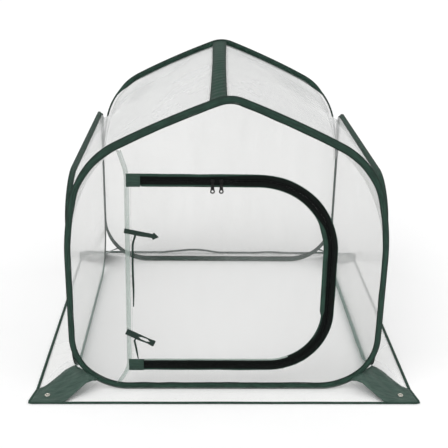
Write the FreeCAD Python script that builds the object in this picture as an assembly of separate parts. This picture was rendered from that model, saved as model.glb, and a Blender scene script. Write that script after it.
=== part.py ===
import FreeCAD, Part

# Pop-up greenhouse. Millimetres, +Z up, front towards -Y. The origin is on the ground under the
# middle of the greenhouse. Four closed hoops of spring wire, each in a fabric sleeve, hold clear
# film panels: a house-shaped hoop at the front and back and a rounded rectangle on each side.
import math
import os

V = FreeCAD.Vector

# ---- driving dimensions -------------------------------------------------------------------------
HALF_WIDTH = 358.0        # middle of the cabin to the wire at each side
DEPTH = 760.0             # front wire to back wire
PEAK_HEIGHT = 700.0       # ground to the wire at the ridge
SIDE_HEIGHT = 497.0       # ground to the top wire of the side hoops
SKIRT_FRONT = 66.0        # how far the ground skirt reaches past the front and back wires
SKIRT_SIDE = 87.0         # and past the side wires, at its corners 10 mm more
CORNER_REACH = 97.0       # side wire to the outer corner of the skirt

SLEEVE_R = 6.0            # fabric sleeve, outside
SLEEVE_BORE_R = 2.4       # channel sewn for the wire
WIRE_R = 1.5
FERRULE_R = 2.1           # crimped over the two ends of the wire
FERRULE_LENGTH = 40.0
TUBE_GAP = 0.8            # between the sleeves of neighbouring hoops
FILM = 0.6                # film panels, thicker than the real film
SEWN_GAP = 0.2            # between a panel's edge and the sleeve that it is sewn to

GROUND_BEND = 130.0       # radius of every bottom corner
SIDE_FRONT_BEND = 150.0   # top front corners of the side hoops
SIDE_BACK_BEND = 45.0     # top back corners of the side hoops, which are tighter
WALL_BEND = (600.0, 14.0)    # radius and turn of the wall above the straight part
EAVE_BEND = (190.0, 49.0)    # radius and turn of the eave
PEAK_BEND = (75.0, 21.0)     # radius and turn of each half of the ridge
SLOPE_TURN = 90.0 - WALL_BEND[1] - EAVE_BEND[1] - PEAK_BEND[1]    # the roof slopes bow a little

DOOR_TOP = 520.0          # height of the zip's top run
DOOR_BOTTOM = 66.0        # and of its bottom run
DOOR_RIGHT = 233.0        # middle of the zip at its right-hand side
DOOR_TOP_BEND = 168.0
DOOR_BOTTOM_BEND = 134.0
SEAM = ((-277.0, 720.0), (-218.0, 538.0), (-222.0, 60.0), (-258.0, 0.0))   # x, z down the seam
SEAM_HALF = 3.5
SEAM_TO_DOOR = 1.0        # from the seam's tape to the line that the door folds on

TAPE_HALF = 13.5          # zip tape, from the middle of the zip to its edge
TAPE_SPLIT = 0.7          # from the middle of the zip to each tape
COIL = (0.8, 3.8)         # the coil's inner and outer edge, from the middle of the zip
BINDING_WIDTH = 4.6
PATCH_RIGHT = -191.0      # right-hand edge of the patches over the zip's two ends
DOOR_GAP = 1.5            # between those patches and the door's half of the zip
SLIDER_LEFT_X = -35.0
SLIDER_RIGHT_X = -16.0

RIDGE_HALF = 19.0
HEM_WIDTH = 6.5
GROMMET_X = 414.0         # stake holes, from the middle of the cabin
GROMMET_OUT = 32.0        # and past the front and back wires
GROMMET_HOLE_R = 3.2
GROMMET_R = 6.5

# ---- derived places -----------------------------------------------------------------------------
Y_FRONT = -DEPTH / 2
Y_BACK = DEPTH / 2
GROUND_WIRE_Z = SLEEVE_R
PITCH = 2 * SLEEVE_R + TUBE_GAP              # between the wires of neighbouring hoops
SIDE_DEPTH_HALF = DEPTH / 2 - PITCH          # middle of the cabin to a side hoop's upright
ROOF_INSET = 7.0                             # roof film below the line of the wire


def arc_point(centre, radius, degrees):
    angle = math.radians(degrees)
    return centre[0] + radius * math.cos(angle), centre[1] + radius * math.sin(angle)


def walk(start, heading, steps, inset=0.0):
    """Edges of a flat line, as (u, v) point lists: a run has two points and a bend three.
    A bend turns left. inset shifts the line to its left, so it makes the bends smaller."""
    u, v = start
    edges = []
    for step in steps:
        angle = math.radians(heading)
        if step[0] == "run":
            ahead = (u + step[1] * math.cos(angle), v + step[1] * math.sin(angle))
            edges.append([(u, v), ahead])
            u, v = ahead
        else:
            radius = step[1] - inset
            centre = arc_point((u, v), radius, heading + 90)
            middle = arc_point(centre, radius, heading - 90 + step[2] / 2)
            end = arc_point(centre, radius, heading - 90 + step[2])
            edges.append([(u, v), middle, end])
            u, v = end
            heading += step[2]
    return edges


def wire_of(edges, place):
    """A wire from (u, v) edges. place turns (u, v) into a point in space."""
    shapes = []
    for points in edges:
        spots = [place(u, v) for u, v in points]
        if len(spots) == 2:
            shapes.append(Part.makeLine(*spots))
        else:
            shapes.append(Part.Arc(*spots).toShape())
    return Part.Wire(shapes)


def in_xz(y):
    return lambda u, v: V(u, y, v)


def in_yz(x):
    return lambda u, v: V(x, u, v)


def bend_rise(radius, first, last):
    """How far a bend goes inwards and up between two leans, measured from the vertical."""
    a, b = math.radians(first), math.radians(last)
    return radius * (math.cos(a) - math.cos(b)), radius * (math.sin(b) - math.sin(a))


def eave_steps():
    """The wall above its straight part, the eave and the roof slope, and the straight part's top."""
    slope_lean = WALL_BEND[1] + EAVE_BEND[1]
    wall_in, wall_up = bend_rise(WALL_BEND[0], 0.0, WALL_BEND[1])
    eave_in, eave_up = bend_rise(EAVE_BEND[0], WALL_BEND[1], slope_lean)
    share_in, share_up = bend_rise(1.0, slope_lean, slope_lean + SLOPE_TURN)
    peak_in, peak_up = bend_rise(PEAK_BEND[0], 90.0 - PEAK_BEND[1], 90.0)
    slope_radius = (HALF_WIDTH - wall_in - eave_in - peak_in) / share_in
    straight_top = PEAK_HEIGHT - wall_up - eave_up - slope_radius * share_up - peak_up
    steps = [("bend", *WALL_BEND), ("bend", *EAVE_BEND), ("bend", slope_radius, SLOPE_TURN)]
    return steps, straight_top


def house_outline(inset=0.0):
    """The front and back hoops: from the middle of the ground run, anticlockwise."""
    eave, straight_top = eave_steps()
    half = [("run", HALF_WIDTH - GROUND_BEND), ("bend", GROUND_BEND, 90.0)]
    half += [("run", straight_top - GROUND_WIRE_Z - GROUND_BEND)] + eave + [("bend", *PEAK_BEND)]
    return walk((0.0, GROUND_WIRE_Z + inset), 0.0, half + half[::-1], inset)


def side_outline(inset=0.0):
    """A side hoop: from the middle of its ground run, anticlockwise."""
    room = SIDE_HEIGHT - GROUND_WIRE_Z - GROUND_BEND
    half_ground = ("run", SIDE_DEPTH_HALF - GROUND_BEND)
    steps = [half_ground, ("bend", GROUND_BEND, 90.0), ("run", room - SIDE_BACK_BEND)]
    steps.append(("bend", SIDE_BACK_BEND, 90.0))
    steps.append(("run", 2 * SIDE_DEPTH_HALF - SIDE_BACK_BEND - SIDE_FRONT_BEND))
    steps.append(("bend", SIDE_FRONT_BEND, 90.0))
    steps += [("run", room - SIDE_FRONT_BEND), ("bend", GROUND_BEND, 90.0), half_ground]
    return walk((0.0, GROUND_WIRE_Z + inset), 0.0, steps, inset)


def rod(edges, place, radius):
    """A round rod along closed edges, made one edge at a time."""
    pieces = []
    for points in edges:
        path = wire_of([points], place)
        start = path.Edges[0]
        tangent = start.tangentAt(start.FirstParameter)
        ring = Part.Wire(Part.makeCircle(radius, start.valueAt(start.FirstParameter), tangent))
        pieces.append(path.makePipeShell([ring], True, True))
    whole = pieces[0].multiFuse(pieces[1:])
    return whole.removeSplitter()


def tube(edges, place, radius, bore):
    return rod(edges, place, radius).cut(rod(edges, place, bore))


def sheet(edges, place, direction, thickness=FILM):
    """A flat panel with its middle on the plane of the outline."""
    face = Part.Face(wire_of(edges, place))
    face.translate(direction * (-thickness / 2))
    return face.extrude(direction * thickness)


def block(x0, x1, y0, y1, z0, z1):
    return Part.makeBox(x1 - x0, y1 - y0, z1 - z0, V(x0, y0, z0))


def slab(points, z0, z1):
    """A flat piece on the ground from its corners (x, y)."""
    wire = Part.makePolygon([V(x, y, z0) for x, y in points + points[:1]])
    return Part.Face(wire).extrude(V(0, 0, z1 - z0))


def plate(points, y0, y1):
    """A flat piece parallel to the front panel from its corners (x, z)."""
    wire = Part.makePolygon([V(x, y0, z) for x, z in points + points[:1]])
    return Part.Face(wire).extrude(V(0, y1 - y0, 0))


# ---- hoops --------------------------------------------------------------------------------------
def hoop(edges, place, along):
    """Wire, ferrule and sleeve of one hoop. along is the direction of its ground run."""
    wire = rod(edges, place, WIRE_R)
    start = place(0.0, GROUND_WIRE_Z) - along * (FERRULE_LENGTH / 2)
    ferrule = Part.makeCylinder(FERRULE_R, FERRULE_LENGTH, start, along)
    ferrule = ferrule.cut(Part.makeCylinder(WIRE_R + 0.05, FERRULE_LENGTH, start, along))
    return {
        "wire": wire,
        "ferrule": ferrule,
        "sleeve": tube(edges, place, SLEEVE_R, SLEEVE_BORE_R),
    }


def hoops():
    parts = {}
    plans = {
        "front": (house_outline(), in_xz(Y_FRONT), V(1, 0, 0)),
        "back": (house_outline(), in_xz(Y_BACK), V(1, 0, 0)),
        "left": (side_outline(), in_yz(-HALF_WIDTH), V(0, 1, 0)),
        "right": (side_outline(), in_yz(HALF_WIDTH), V(0, 1, 0)),
    }
    for name, plan in plans.items():
        for piece, shape in hoop(*plan).items():
            parts[f"{name}_hoop_{piece}"] = shape
    return parts


# ---- panels -------------------------------------------------------------------------------------
def seam_x(z):
    """The seam's middle at a height, between its two bends."""
    (x0, z0), (x1, z1) = SEAM[1], SEAM[2]
    return x0 + (x1 - x0) * (z - z0) / (z1 - z0)


def hinge_x(z):
    """The door folds along the right-hand edge of the seam."""
    return seam_x(z) + SEAM_HALF


def door_outline(inset=0.0):
    """The zip's line, moved towards the middle of the door by inset. It is closed at the seam."""
    low, high = DOOR_BOTTOM + inset, DOOR_TOP - inset
    bottom = (DOOR_RIGHT - DOOR_BOTTOM_BEND, DOOR_BOTTOM + DOOR_BOTTOM_BEND)
    top = (DOOR_RIGHT - DOOR_TOP_BEND, DOOR_TOP - DOOR_TOP_BEND)
    r_bottom, r_top = DOOR_BOTTOM_BEND - inset, DOOR_TOP_BEND - inset
    right = DOOR_RIGHT - inset
    return [
        [(hinge_x(low), low), (bottom[0], low)],
        [(bottom[0], low), arc_point(bottom, r_bottom, -45), (right, bottom[1])],
        [(right, bottom[1]), (right, top[1])],
        [(right, top[1]), arc_point(top, r_top, 45), (top[0], high)],
        [(top[0], high), (hinge_x(high), high)],
        [(hinge_x(high), high), (hinge_x(low), low)],
    ]


def door_solid(inset, y0, y1):
    face = Part.Face(wire_of(door_outline(inset), in_xz(Y_FRONT + y0)))
    return face.extrude(V(0, y1 - y0, 0))


def zip_band(outer, inner, y0, y1):
    """A band along the zip between two insets."""
    return door_solid(outer, y0, y1).cut(door_solid(inner, y0 - 1, y1 + 1))


def seam_strip(left, right):
    """A strip along the seam, from left to right of its middle line, the full panel high."""
    points = [(x + left, z) for x, z in SEAM] + [(x + right, z) for x, z in SEAM[::-1]]
    return plate(points, Y_FRONT - 5, Y_FRONT + 5)


def front_panels():
    y = V(0, 1, 0)
    inside = house_outline(SLEEVE_R + SEWN_GAP)
    whole = sheet(inside, in_xz(Y_FRONT), y)
    thick = sheet(inside, in_xz(Y_FRONT), y, 1.4)
    left_side = seam_strip(-400, -SEAM_HALF - SEWN_GAP)
    past_seam = seam_strip(SEAM_HALF + SEWN_GAP, 700)
    return {
        "front_panel_left": whole.common(left_side),
        "front_panel_right": whole.common(past_seam).cut(
            door_solid(-TAPE_HALF - SEWN_GAP, -5, 5)
        ),
        "front_seam_tape": thick.common(seam_strip(-SEAM_HALF, SEAM_HALF - SEAM_TO_DOOR)),
    }


def past_patches(shape, gap):
    """Cuts a piece of the zip off at the end patches, with a gap beside them."""
    return shape.cut(block(-300, PATCH_RIGHT + gap, Y_FRONT - 9, Y_FRONT + 9, 0, 700))


def off_hinge(shape):
    """Keeps a piece of the door clear of the seam."""
    return shape.cut(seam_strip(-60, SEAM_HALF + 0.4))


def door_and_zip():
    outer_edge, inner_edge, band = -TAPE_HALF, TAPE_HALF, BINDING_WIDTH
    fixed = {
        "zipper_outer_coil": zip_band(-COIL[1], -COIL[0], -2.9, -0.5),
        "doorway_binding": zip_band(outer_edge, outer_edge + band, -1.5, -0.5),
    }
    moving = {
        "zipper_inner_tape": zip_band(TAPE_SPLIT, inner_edge, -0.4, 0.4),
        "zipper_inner_coil": zip_band(COIL[0], COIL[1], -2.9, -0.5),
        "door_binding": zip_band(inner_edge - band, inner_edge, -1.5, -0.5),
    }
    parts = {name: past_patches(shape, SEWN_GAP) for name, shape in fixed.items()}
    parts.update({name: past_patches(shape, DOOR_GAP) for name, shape in moving.items()})
    parts["zipper_outer_tape"] = zip_band(outer_edge, -TAPE_SPLIT, -0.4, 0.4)
    parts["door_panel"] = off_hinge(door_solid(inner_edge + SEWN_GAP, -FILM / 2, FILM / 2))
    return parts


def end_patches():
    patches = {}
    for name, middle in (("top", DOOR_TOP), ("bottom", DOOR_BOTTOM)):
        low, high = middle - TAPE_HALF, middle + TAPE_HALF
        right = [(PATCH_RIGHT, low), (PATCH_RIGHT, high)]
        corners = [(hinge_x(low), low)] + right + [(hinge_x(high), high)]
        patches[f"zipper_{name}_end_patch"] = plate(corners, Y_FRONT - 1.4, Y_FRONT - 0.5)
    return patches


# ---- zip sliders --------------------------------------------------------------------------------
PLATE_FRONT_Y = -4.3      # the slider's front plate, from the front panel's middle
PULL_AXIS_Y = -5.9


def slider(x):
    """Two plates either side of the tape, joined by a thin blade between the two coils."""
    y = Y_FRONT
    front = block(x - 4.2, x + 4.2, y + PLATE_FRONT_Y, y - 3.1, DOOR_TOP - 4.4, DOOR_TOP + 4.4)
    back = block(x - 4.2, x + 4.2, y + 0.7, y + 1.9, DOOR_TOP - 4.4, DOOR_TOP + 4.4)
    front = front.makeFillet(1.5, [e for e in front.Edges if abs(e.tangentAt(0).y) > 0.9])
    back = back.makeFillet(1.5, [e for e in back.Edges if abs(e.tangentAt(0).y) > 0.9])
    blade = block(x - 2.0, x + 2.0, y - 3.3, y + 0.9, DOOR_TOP - 0.45, DOOR_TOP + 0.45)
    lug = block(x - 0.8, x + 0.8, y - 7.5, y - 4.1, DOOR_TOP - 1.9, DOOR_TOP + 1.9)
    eye = Part.makeCylinder(0.95, 4, V(x - 2, y + PULL_AXIS_Y, DOOR_TOP), V(1, 0, 0))
    return front.multiFuse([back, blade, lug]).cut(eye)


def pull(x):
    """Cross bar through the slider's lug, two arms, a flat tab and a ring."""
    y = Y_FRONT + PULL_AXIS_Y
    bar = Part.makeCylinder(0.6, 5.2, V(x - 2.6, y, DOOR_TOP), V(1, 0, 0))
    arms = []
    for left in (x - 2.6, x + 1.9):
        arms.append(block(left, left + 0.7, y - 0.6, y + 0.6, DOOR_TOP - 6, DOOR_TOP + 0.5))
    tab = block(x - 2.6, x + 2.6, y - 0.6, y + 0.6, DOOR_TOP - 15, DOOR_TOP - 4.5)
    ring = Part.makeTorus(3.4, 0.7, V(x, y, DOOR_TOP - 18.0), V(0, 1, 0))
    return bar.multiFuse(arms + [tab, ring])


# ---- roll-up ties -------------------------------------------------------------------------------
TIE_BACK_Y = -3.4
TIE_THICK = 1.4
TIE_START = 8.0           # from the door's fold to the straps
RIBBON_START = 5.5        # and to the ribbons


def tilted_plate(points, start, lean, y0, y1):
    """A plate drawn along +x from start, turned by lean degrees in the panel's plane."""
    a = math.radians(lean)
    spots = []
    for u, v in points:
        x = start[0] + u * math.cos(a) - v * math.sin(a)
        z = start[1] + u * math.sin(a) + v * math.cos(a)
        spots.append((x, z))
    return plate(spots, y0, y1)


def strap_points(length, half):
    return [(0, -half), (length - half, -half), (length, 0), (length - half, half), (0, half)]


def ties():
    """The upper strap is closed, the lower one is an open loop. Each has a hanging ribbon."""
    y0, y1 = Y_FRONT + TIE_BACK_Y - TIE_THICK, Y_FRONT + TIE_BACK_Y
    ribbon_y = (y0 - 1.2, y0 - 0.4)
    upper_z, lower_z = 401.0, 148.0
    upper_start = (hinge_x(upper_z) + TIE_START, upper_z)
    lower_start = (hinge_x(lower_z) + TIE_START, lower_z)
    upper = tilted_plate(strap_points(60, 7.5), upper_start, -12, y0, y1)
    lower = tilted_plate(strap_points(54, 8), lower_start, -22, y0, y1)
    hole = [(14, -3.5), (42, -3.5), (42, 3.5), (14, 3.5)]
    lower = lower.cut(tilted_plate(hole, lower_start, -22, y0 - 1, y1 + 1))
    # each ribbon hangs along the door's fold
    ribbons = {}
    for name, top, bottom, width in (("upper", upper_z, 264.0, 6.5), ("lower", lower_z - 6, 84.0, 5.0)):
        first, last = hinge_x(top) + RIBBON_START, hinge_x(bottom) + RIBBON_START
        corners = [(first, top), (last, bottom), (last + width, bottom), (first + width, top)]
        ribbons[f"{name}_tie_ribbon"] = plate(corners, *ribbon_y)
    anchors = {}
    for name, z in (("upper", upper_z + 3), ("lower", lower_z + 3)):
        x = seam_x(z) - SEAM_HALF
        corners = [(x - 10, z - 7), (x + 6, z - 7), (x + 6, z + 7), (x - 10, z + 7)]
        anchors[f"{name}_tie_anchor"] = plate(corners, Y_FRONT - 2.0, Y_FRONT - 0.9)
    return {"upper_tie_strap": upper, "lower_tie_strap": lower, **ribbons, **anchors}


# ---- back, sides and roof -----------------------------------------------------------------------
def wall_panels():
    inset = SLEEVE_R + SEWN_GAP
    return {
        "back_panel": sheet(house_outline(inset), in_xz(Y_BACK), V(0, 1, 0)),
        "left_panel": sheet(side_outline(inset), in_yz(-HALF_WIDTH), V(1, 0, 0)),
        "right_panel": sheet(side_outline(inset), in_yz(HALF_WIDTH), V(1, 0, 0)),
    }


def hoop_section():
    """Points down the inside of a house hoop, from the ridge band to the top of its straight wall."""
    steps, straight_top = eave_steps()
    beside_band = math.degrees(math.asin((RIDGE_HALF + SEWN_GAP) / (PEAK_BEND[0] - ROOF_INSET)))
    steps.append(("bend", PEAK_BEND[0], PEAK_BEND[1] - beside_band))
    edges = walk((HALF_WIDTH - ROOF_INSET, straight_top), 90.0, steps, ROOF_INSET)
    line = wire_of(edges, in_xz(0.0))
    spots = line.discretize(9)
    return [(p.x, p.z) for p in spots][::-1]


def middle_section(count):
    """Points from the ridge band to just above a side hoop, bowed outwards a little."""
    top = hoop_section()[0]
    low = (HALF_WIDTH - SLEEVE_R - 1.5, SIDE_HEIGHT + SLEEVE_R)
    spots = []
    for i in range(count):
        share = i / (count - 1)
        bow = 14.0 * math.sin(math.pi * share)
        spots.append((top[0] + (low[0] - top[0]) * share, top[1] + (low[1] - top[1]) * share + bow))
    return spots


def section_wire(spots, side, y):
    """A thin closed section of the roof film. side is 1 for the right-hand roof and -1 for the left."""
    upper = [V(side * x, y, z) for x, z in spots]
    lower = [V(side * x, y, z - FILM) for x, z in spots][::-1]
    curves = []
    for points in (upper, lower):
        curve = Part.BSplineCurve()
        curve.interpolate(points)
        curves.append(curve.toShape())
    ends = [Part.makeLine(upper[-1], lower[0]), Part.makeLine(lower[-1], upper[0])]
    return Part.Wire([curves[0], ends[0], curves[1], ends[1]])


def roof_panel(side):
    hoop_line = hoop_section()
    middle = middle_section(len(hoop_line))
    at_hoop = DEPTH / 2 - SLEEVE_R - 0.6
    side_front = SIDE_FRONT_BEND - SIDE_DEPTH_HALF
    side_back = SIDE_DEPTH_HALF - SIDE_BACK_BEND
    plan = ((-at_hoop, hoop_line), (side_front, middle), (side_back, middle), (at_hoop, hoop_line))
    return Part.makeLoft([section_wire(spots, side, y) for y, spots in plan], True, True)


def ridge_band():
    """The strip along the ridge, bent over it on the same centre as the hoops' peaks."""
    centre_z = PEAK_HEIGHT - PEAK_BEND[0]
    outer_r = PEAK_BEND[0] - ROOF_INSET + 1.5
    length = DEPTH - 2 * SLEEVE_R - 1.2
    start = V(0, -length / 2, centre_z)
    ring = Part.makeCylinder(outer_r, length, start, V(0, 1, 0))
    ring = ring.cut(Part.makeCylinder(outer_r - 1.5, length, start, V(0, 1, 0)))
    return ring.common(block(-RIDGE_HALF, RIDGE_HALF, -DEPTH, DEPTH, centre_z + 20, PEAK_HEIGHT + 20))


# ---- ground skirt -------------------------------------------------------------------------------
# One quarter of the skirt's plan, as distances from the middle of the cabin (x, y). The film ends
# where the corner patch starts, and the patch leaves a gap beside the hoops' corner.
PATCH_ON_FRONT_X = 297.0
PATCH_ON_SIDE_Y = DEPTH / 2 - 62.0
HEM_FRONT_X = 372.0
HEM_SIDE_Y = DEPTH / 2 + 5.0
EDGE_FRONT_Y = DEPTH / 2 + SKIRT_FRONT
EDGE_SIDE_X = HALF_WIDTH + SKIRT_SIDE
SKIRT_Z = (0.0, 0.8)
HEM_Z = (0.0, 1.0)
PATCH_Z = (1.8, 2.6)
CORNER_HEM_Z = (1.3, 3.1)
WIRE_CLEAR = SLEEVE_R + 0.4


def turned(points, sx, sy):
    return [(sx * x, sy * y) for x, y in points]


def skirt_end():
    """The line, from hoop to hem, where the front skirt's film ends (x, y)."""
    return (PATCH_ON_FRONT_X, DEPTH / 2 + WIRE_CLEAR), (HEM_FRONT_X, EDGE_FRONT_Y)


def side_skirt_end():
    return (HALF_WIDTH + WIRE_CLEAR, PATCH_ON_SIDE_Y), (EDGE_SIDE_X, HEM_SIDE_Y)


def front_skirt(sy):
    """Film and hem of the front (sy = -1) or back (sy = 1) skirt."""
    (x0, y0), (x1, y1) = skirt_end()
    split = y1 - HEM_WIDTH
    at_split = x0 + (x1 - x0) * (split - y0) / (y1 - y0)
    film = [(-x0, y0), (x0, y0), (at_split, split), (-at_split, split)]
    hem = [(-at_split, split + SEWN_GAP), (at_split, split + SEWN_GAP), (x1, y1), (-x1, y1)]
    return slab(turned(film, 1, sy), *SKIRT_Z), slab(turned(hem, 1, sy), *HEM_Z)


def side_skirt(sx):
    (x0, y0), (x1, y1) = side_skirt_end()
    split = x1 - HEM_WIDTH
    at_split = y0 + (y1 - y0) * (split - x0) / (x1 - x0)
    film = [(x0, -y0), (x0, y0), (split, at_split), (split, -at_split)]
    hem = [(split + SEWN_GAP, -at_split), (split + SEWN_GAP, at_split), (x1, y1), (x1, -y1)]
    return slab(turned(film, sx, 1), *SKIRT_Z), slab(turned(hem, sx, 1), *HEM_Z)


def corner_patch(sx, sy):
    """The fabric patch at one corner, its hem and the place of its stake hole."""
    front_in, front_out = skirt_end()
    side_in, side_out = side_skirt_end()
    tip = (HALF_WIDTH + CORNER_REACH, EDGE_FRONT_Y)
    gap = (HALF_WIDTH + WIRE_CLEAR + 4, DEPTH / 2 + WIRE_CLEAR + 4)
    out = [front_out, tip, side_out]
    inner = [(front_out[0], tip[1] - HEM_WIDTH), (tip[0] - HEM_WIDTH - 3, tip[1] - HEM_WIDTH)]
    inner += [(side_out[0] - HEM_WIDTH, side_out[1])]
    cloth = slab(turned([front_in] + inner + [side_in, gap], sx, sy), *PATCH_Z)
    hem = slab(turned(out + inner[::-1], sx, sy), *CORNER_HEM_Z).cut(cloth)
    x, y = sx * GROMMET_X, sy * (DEPTH / 2 + GROMMET_OUT)
    cloth = cloth.cut(Part.makeCylinder(GROMMET_HOLE_R + 1.1, 9, V(x, y, -1)))
    return cloth, hem


def grommet(sx, sy):
    """A rolled eyelet: a short barrel with a flange above and below the cloth."""
    x, y = sx * GROMMET_X, sy * (DEPTH / 2 + GROMMET_OUT)
    low, high = CORNER_HEM_Z[0], CORNER_HEM_Z[1]
    barrel = Part.makeCylinder(GROMMET_HOLE_R + 0.9, high - low, V(x, y, low))
    lower = Part.makeCylinder(GROMMET_R, PATCH_Z[0] - low - 0.1, V(x, y, low))
    upper = Part.makeCylinder(GROMMET_R, high - PATCH_Z[1] - 0.1, V(x, y, PATCH_Z[1] + 0.1))
    return barrel.multiFuse([lower, upper]).cut(Part.makeCylinder(GROMMET_HOLE_R, 9, V(x, y, -1)))


def ground_skirt():
    parts = {}
    for name, sy in (("front", -1), ("back", 1)):
        parts[f"{name}_skirt"], parts[f"{name}_skirt_hem"] = front_skirt(sy)
        for side, sx in (("left", -1), ("right", 1)):
            cloth, hem = corner_patch(sx, sy)
            parts[f"{name}_{side}_corner_patch"] = cloth
            parts[f"{name}_{side}_corner_hem"] = hem
        parts[f"{name}_grommets"] = Part.makeCompound([grommet(-1, sy), grommet(1, sy)])
    for name, sx in (("left", -1), ("right", 1)):
        parts[f"{name}_skirt"], parts[f"{name}_skirt_hem"] = side_skirt(sx)
    return parts


# ---- the whole greenhouse -----------------------------------------------------------------------
def greenhouse():
    parts = {}
    parts.update(hoops())
    parts.update(front_panels())
    parts.update(door_and_zip())
    parts.update(end_patches())
    for name, x in (("left", SLIDER_LEFT_X), ("right", SLIDER_RIGHT_X)):
        parts[f"zipper_slider_{name}"] = slider(x)
        parts[f"zipper_pull_{name}"] = pull(x)
    parts.update(ties())
    parts.update(wall_panels())
    parts["left_roof_panel"] = roof_panel(-1)
    parts["right_roof_panel"] = roof_panel(1)
    parts["ridge_band"] = ridge_band()
    parts.update(ground_skirt())
    return parts


os.makedirs("parts", exist_ok=True)
for node, shape in greenhouse().items():
    bad = "" if shape.isValid() and shape.Volume > 0 else "  NOT VALID"
    print(f"{node}: {len(shape.Solids)} solid, {shape.Volume / 1000:.2f} cm3{bad}")
    shape.exportStep(f"parts/{node}.step")
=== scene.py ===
import math

import bmesh
import bpy
import numpy as np
from mathutils import Matrix, Vector, noise
from mathutils.geometry import delaunay_2d_cdt


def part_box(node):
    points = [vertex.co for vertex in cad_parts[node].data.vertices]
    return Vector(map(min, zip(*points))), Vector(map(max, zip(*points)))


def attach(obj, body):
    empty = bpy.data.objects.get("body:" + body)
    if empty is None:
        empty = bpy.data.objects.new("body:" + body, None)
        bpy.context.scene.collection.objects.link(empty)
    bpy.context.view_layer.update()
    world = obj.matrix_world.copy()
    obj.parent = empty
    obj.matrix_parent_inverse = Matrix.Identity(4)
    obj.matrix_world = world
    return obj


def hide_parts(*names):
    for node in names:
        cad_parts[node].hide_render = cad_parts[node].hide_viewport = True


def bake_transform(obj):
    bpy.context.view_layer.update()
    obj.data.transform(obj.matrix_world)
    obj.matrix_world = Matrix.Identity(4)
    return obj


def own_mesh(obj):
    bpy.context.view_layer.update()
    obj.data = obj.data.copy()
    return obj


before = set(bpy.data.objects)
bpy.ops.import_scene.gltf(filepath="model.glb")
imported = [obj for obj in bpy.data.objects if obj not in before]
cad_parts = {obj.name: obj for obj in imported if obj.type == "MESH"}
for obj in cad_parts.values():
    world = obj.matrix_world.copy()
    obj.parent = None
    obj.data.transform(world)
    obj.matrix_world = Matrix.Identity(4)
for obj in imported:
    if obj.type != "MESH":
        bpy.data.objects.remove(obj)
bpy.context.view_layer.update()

MM = 0.001

# ---- places, read from the CAD frame ------------------------------------------------------------
WIRE_LOW, WIRE_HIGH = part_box("front_hoop_wire")
BACK_LOW, BACK_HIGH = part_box("back_hoop_wire")
SIDE_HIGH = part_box("right_hoop_wire")[1]
TAPE_LOW, TAPE_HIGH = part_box("zipper_outer_tape")
WIRE_R = (WIRE_HIGH.y - WIRE_LOW.y) / 2
Y_FRONT = (WIRE_HIGH.y + WIRE_LOW.y) / 2
Y_BACK = (BACK_HIGH.y + BACK_LOW.y) / 2
HALF_WIDTH = WIRE_HIGH.x - WIRE_R
PEAK = WIRE_HIGH.z - WIRE_R
GROUND = WIRE_LOW.z + WIRE_R
SIDE_DEPTH = SIDE_HIGH.y - WIRE_R
SIDE_TOP = SIDE_HIGH.z - WIRE_R

# ---- the design's own bends, as in the CAD source -----------------------------------------------
GROUND_BEND = 130 * MM
SIDE_FRONT_BEND = 150 * MM
SIDE_BACK_BEND = 45 * MM
WALL_BEND = (600 * MM, 14.0)      # radius and turn of the wall above its straight part
EAVE_BEND = (190 * MM, 49.0)
PEAK_BEND = (75 * MM, 21.0)
SLOPE_TURN = 90.0 - WALL_BEND[1] - EAVE_BEND[1] - PEAK_BEND[1]    # the roof slopes bow a little
TAPE_HALF = 13.5 * MM
DOOR_TOP = TAPE_HIGH.z - TAPE_HALF
DOOR_BOTTOM = TAPE_LOW.z + TAPE_HALF
DOOR_RIGHT = TAPE_HIGH.x - TAPE_HALF
DOOR_TOP_BEND = 168 * MM
DOOR_BOTTOM_BEND = 134 * MM
SEAM = ((-277 * MM, 720 * MM), (-218 * MM, 538 * MM), (-222 * MM, 60 * MM), (-258 * MM, 0.0))
SEAM_HALF = 3.5 * MM
RIDGE_HALF = 19 * MM
BAND_DRIFT = (7 * MM, 25 * MM)    # how far left of the back and front peaks the ridge band ends
PATCH_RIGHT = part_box("zipper_top_end_patch")[1].x
PATCH_CLEAR = 1.5 * MM    # between the end patches and the door's half of the zip

TOP_LEAN = 62.0           # how far the side sleeves turn outwards along the top, in degrees

# ---- looks --------------------------------------------------------------------------------------
FILM = 0.35 * MM
FILM_EDGE = 2.0 * MM      # how far inside the wire's line a film panel ends, within its sleeve
SLEEVE_INNER = -9.4 * MM  # the sleeve's flat edge, from the wire
STITCH_LINE = -6.6 * MM
STITCH_WIDTH = 0.7 * MM
STITCH_PITCH = 3.4 * MM
STITCH_SHARE = 0.72       # how much of its pitch each stitch fills
SEWN = 1.5 * MM           # how far inside the hoops' planes the roof's cloth ends
ROOF_UNDER = 8 * MM       # the roof films' edges, from the middle of the wires
UNDER_BAND = RIDGE_HALF - 1.5 * MM    # and from the middle of the ridge band, under it
HEM_HALF = 3.4 * MM
HEM_MIDDLE = 1.25 * MM    # the hem's middle above the ground
FILM_LIFT = 1.2 * MM      # and the skirt film's
PATCH_LIFT = 2.1 * MM     # and a corner patch's
PATCH_HOLE_R = 4.4 * MM   # the hole in a corner patch, under its eyelet
EYELET_LIFT = 2.3 * MM    # the eyelets' middle above the ground
BACK_RUMPLE = 26.0 * MM   # how far the back hem stands off the ground
RUMPLE = 1.6 * MM         # and the other hems
TAPE_THICK = 0.4 * MM     # half of the zip tape's thickness
COIL_PITCH = 2.0 * MM
SLEEVE_WANDER = 0.9 * MM  # how far a sleeve's sewn edge strays


def smooth(value, start, end):
    """0 before start, 1 after end and an even curve between. start may be the larger one."""
    share = np.clip((value - start) / (end - start), 0.0, 1.0)
    return share * share * (3 - 2 * share)


def wave(x, y, seed):
    """Smooth noise from about -1 to 1."""
    return noise.noise(Vector((x, y, seed * 7.31)))


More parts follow.
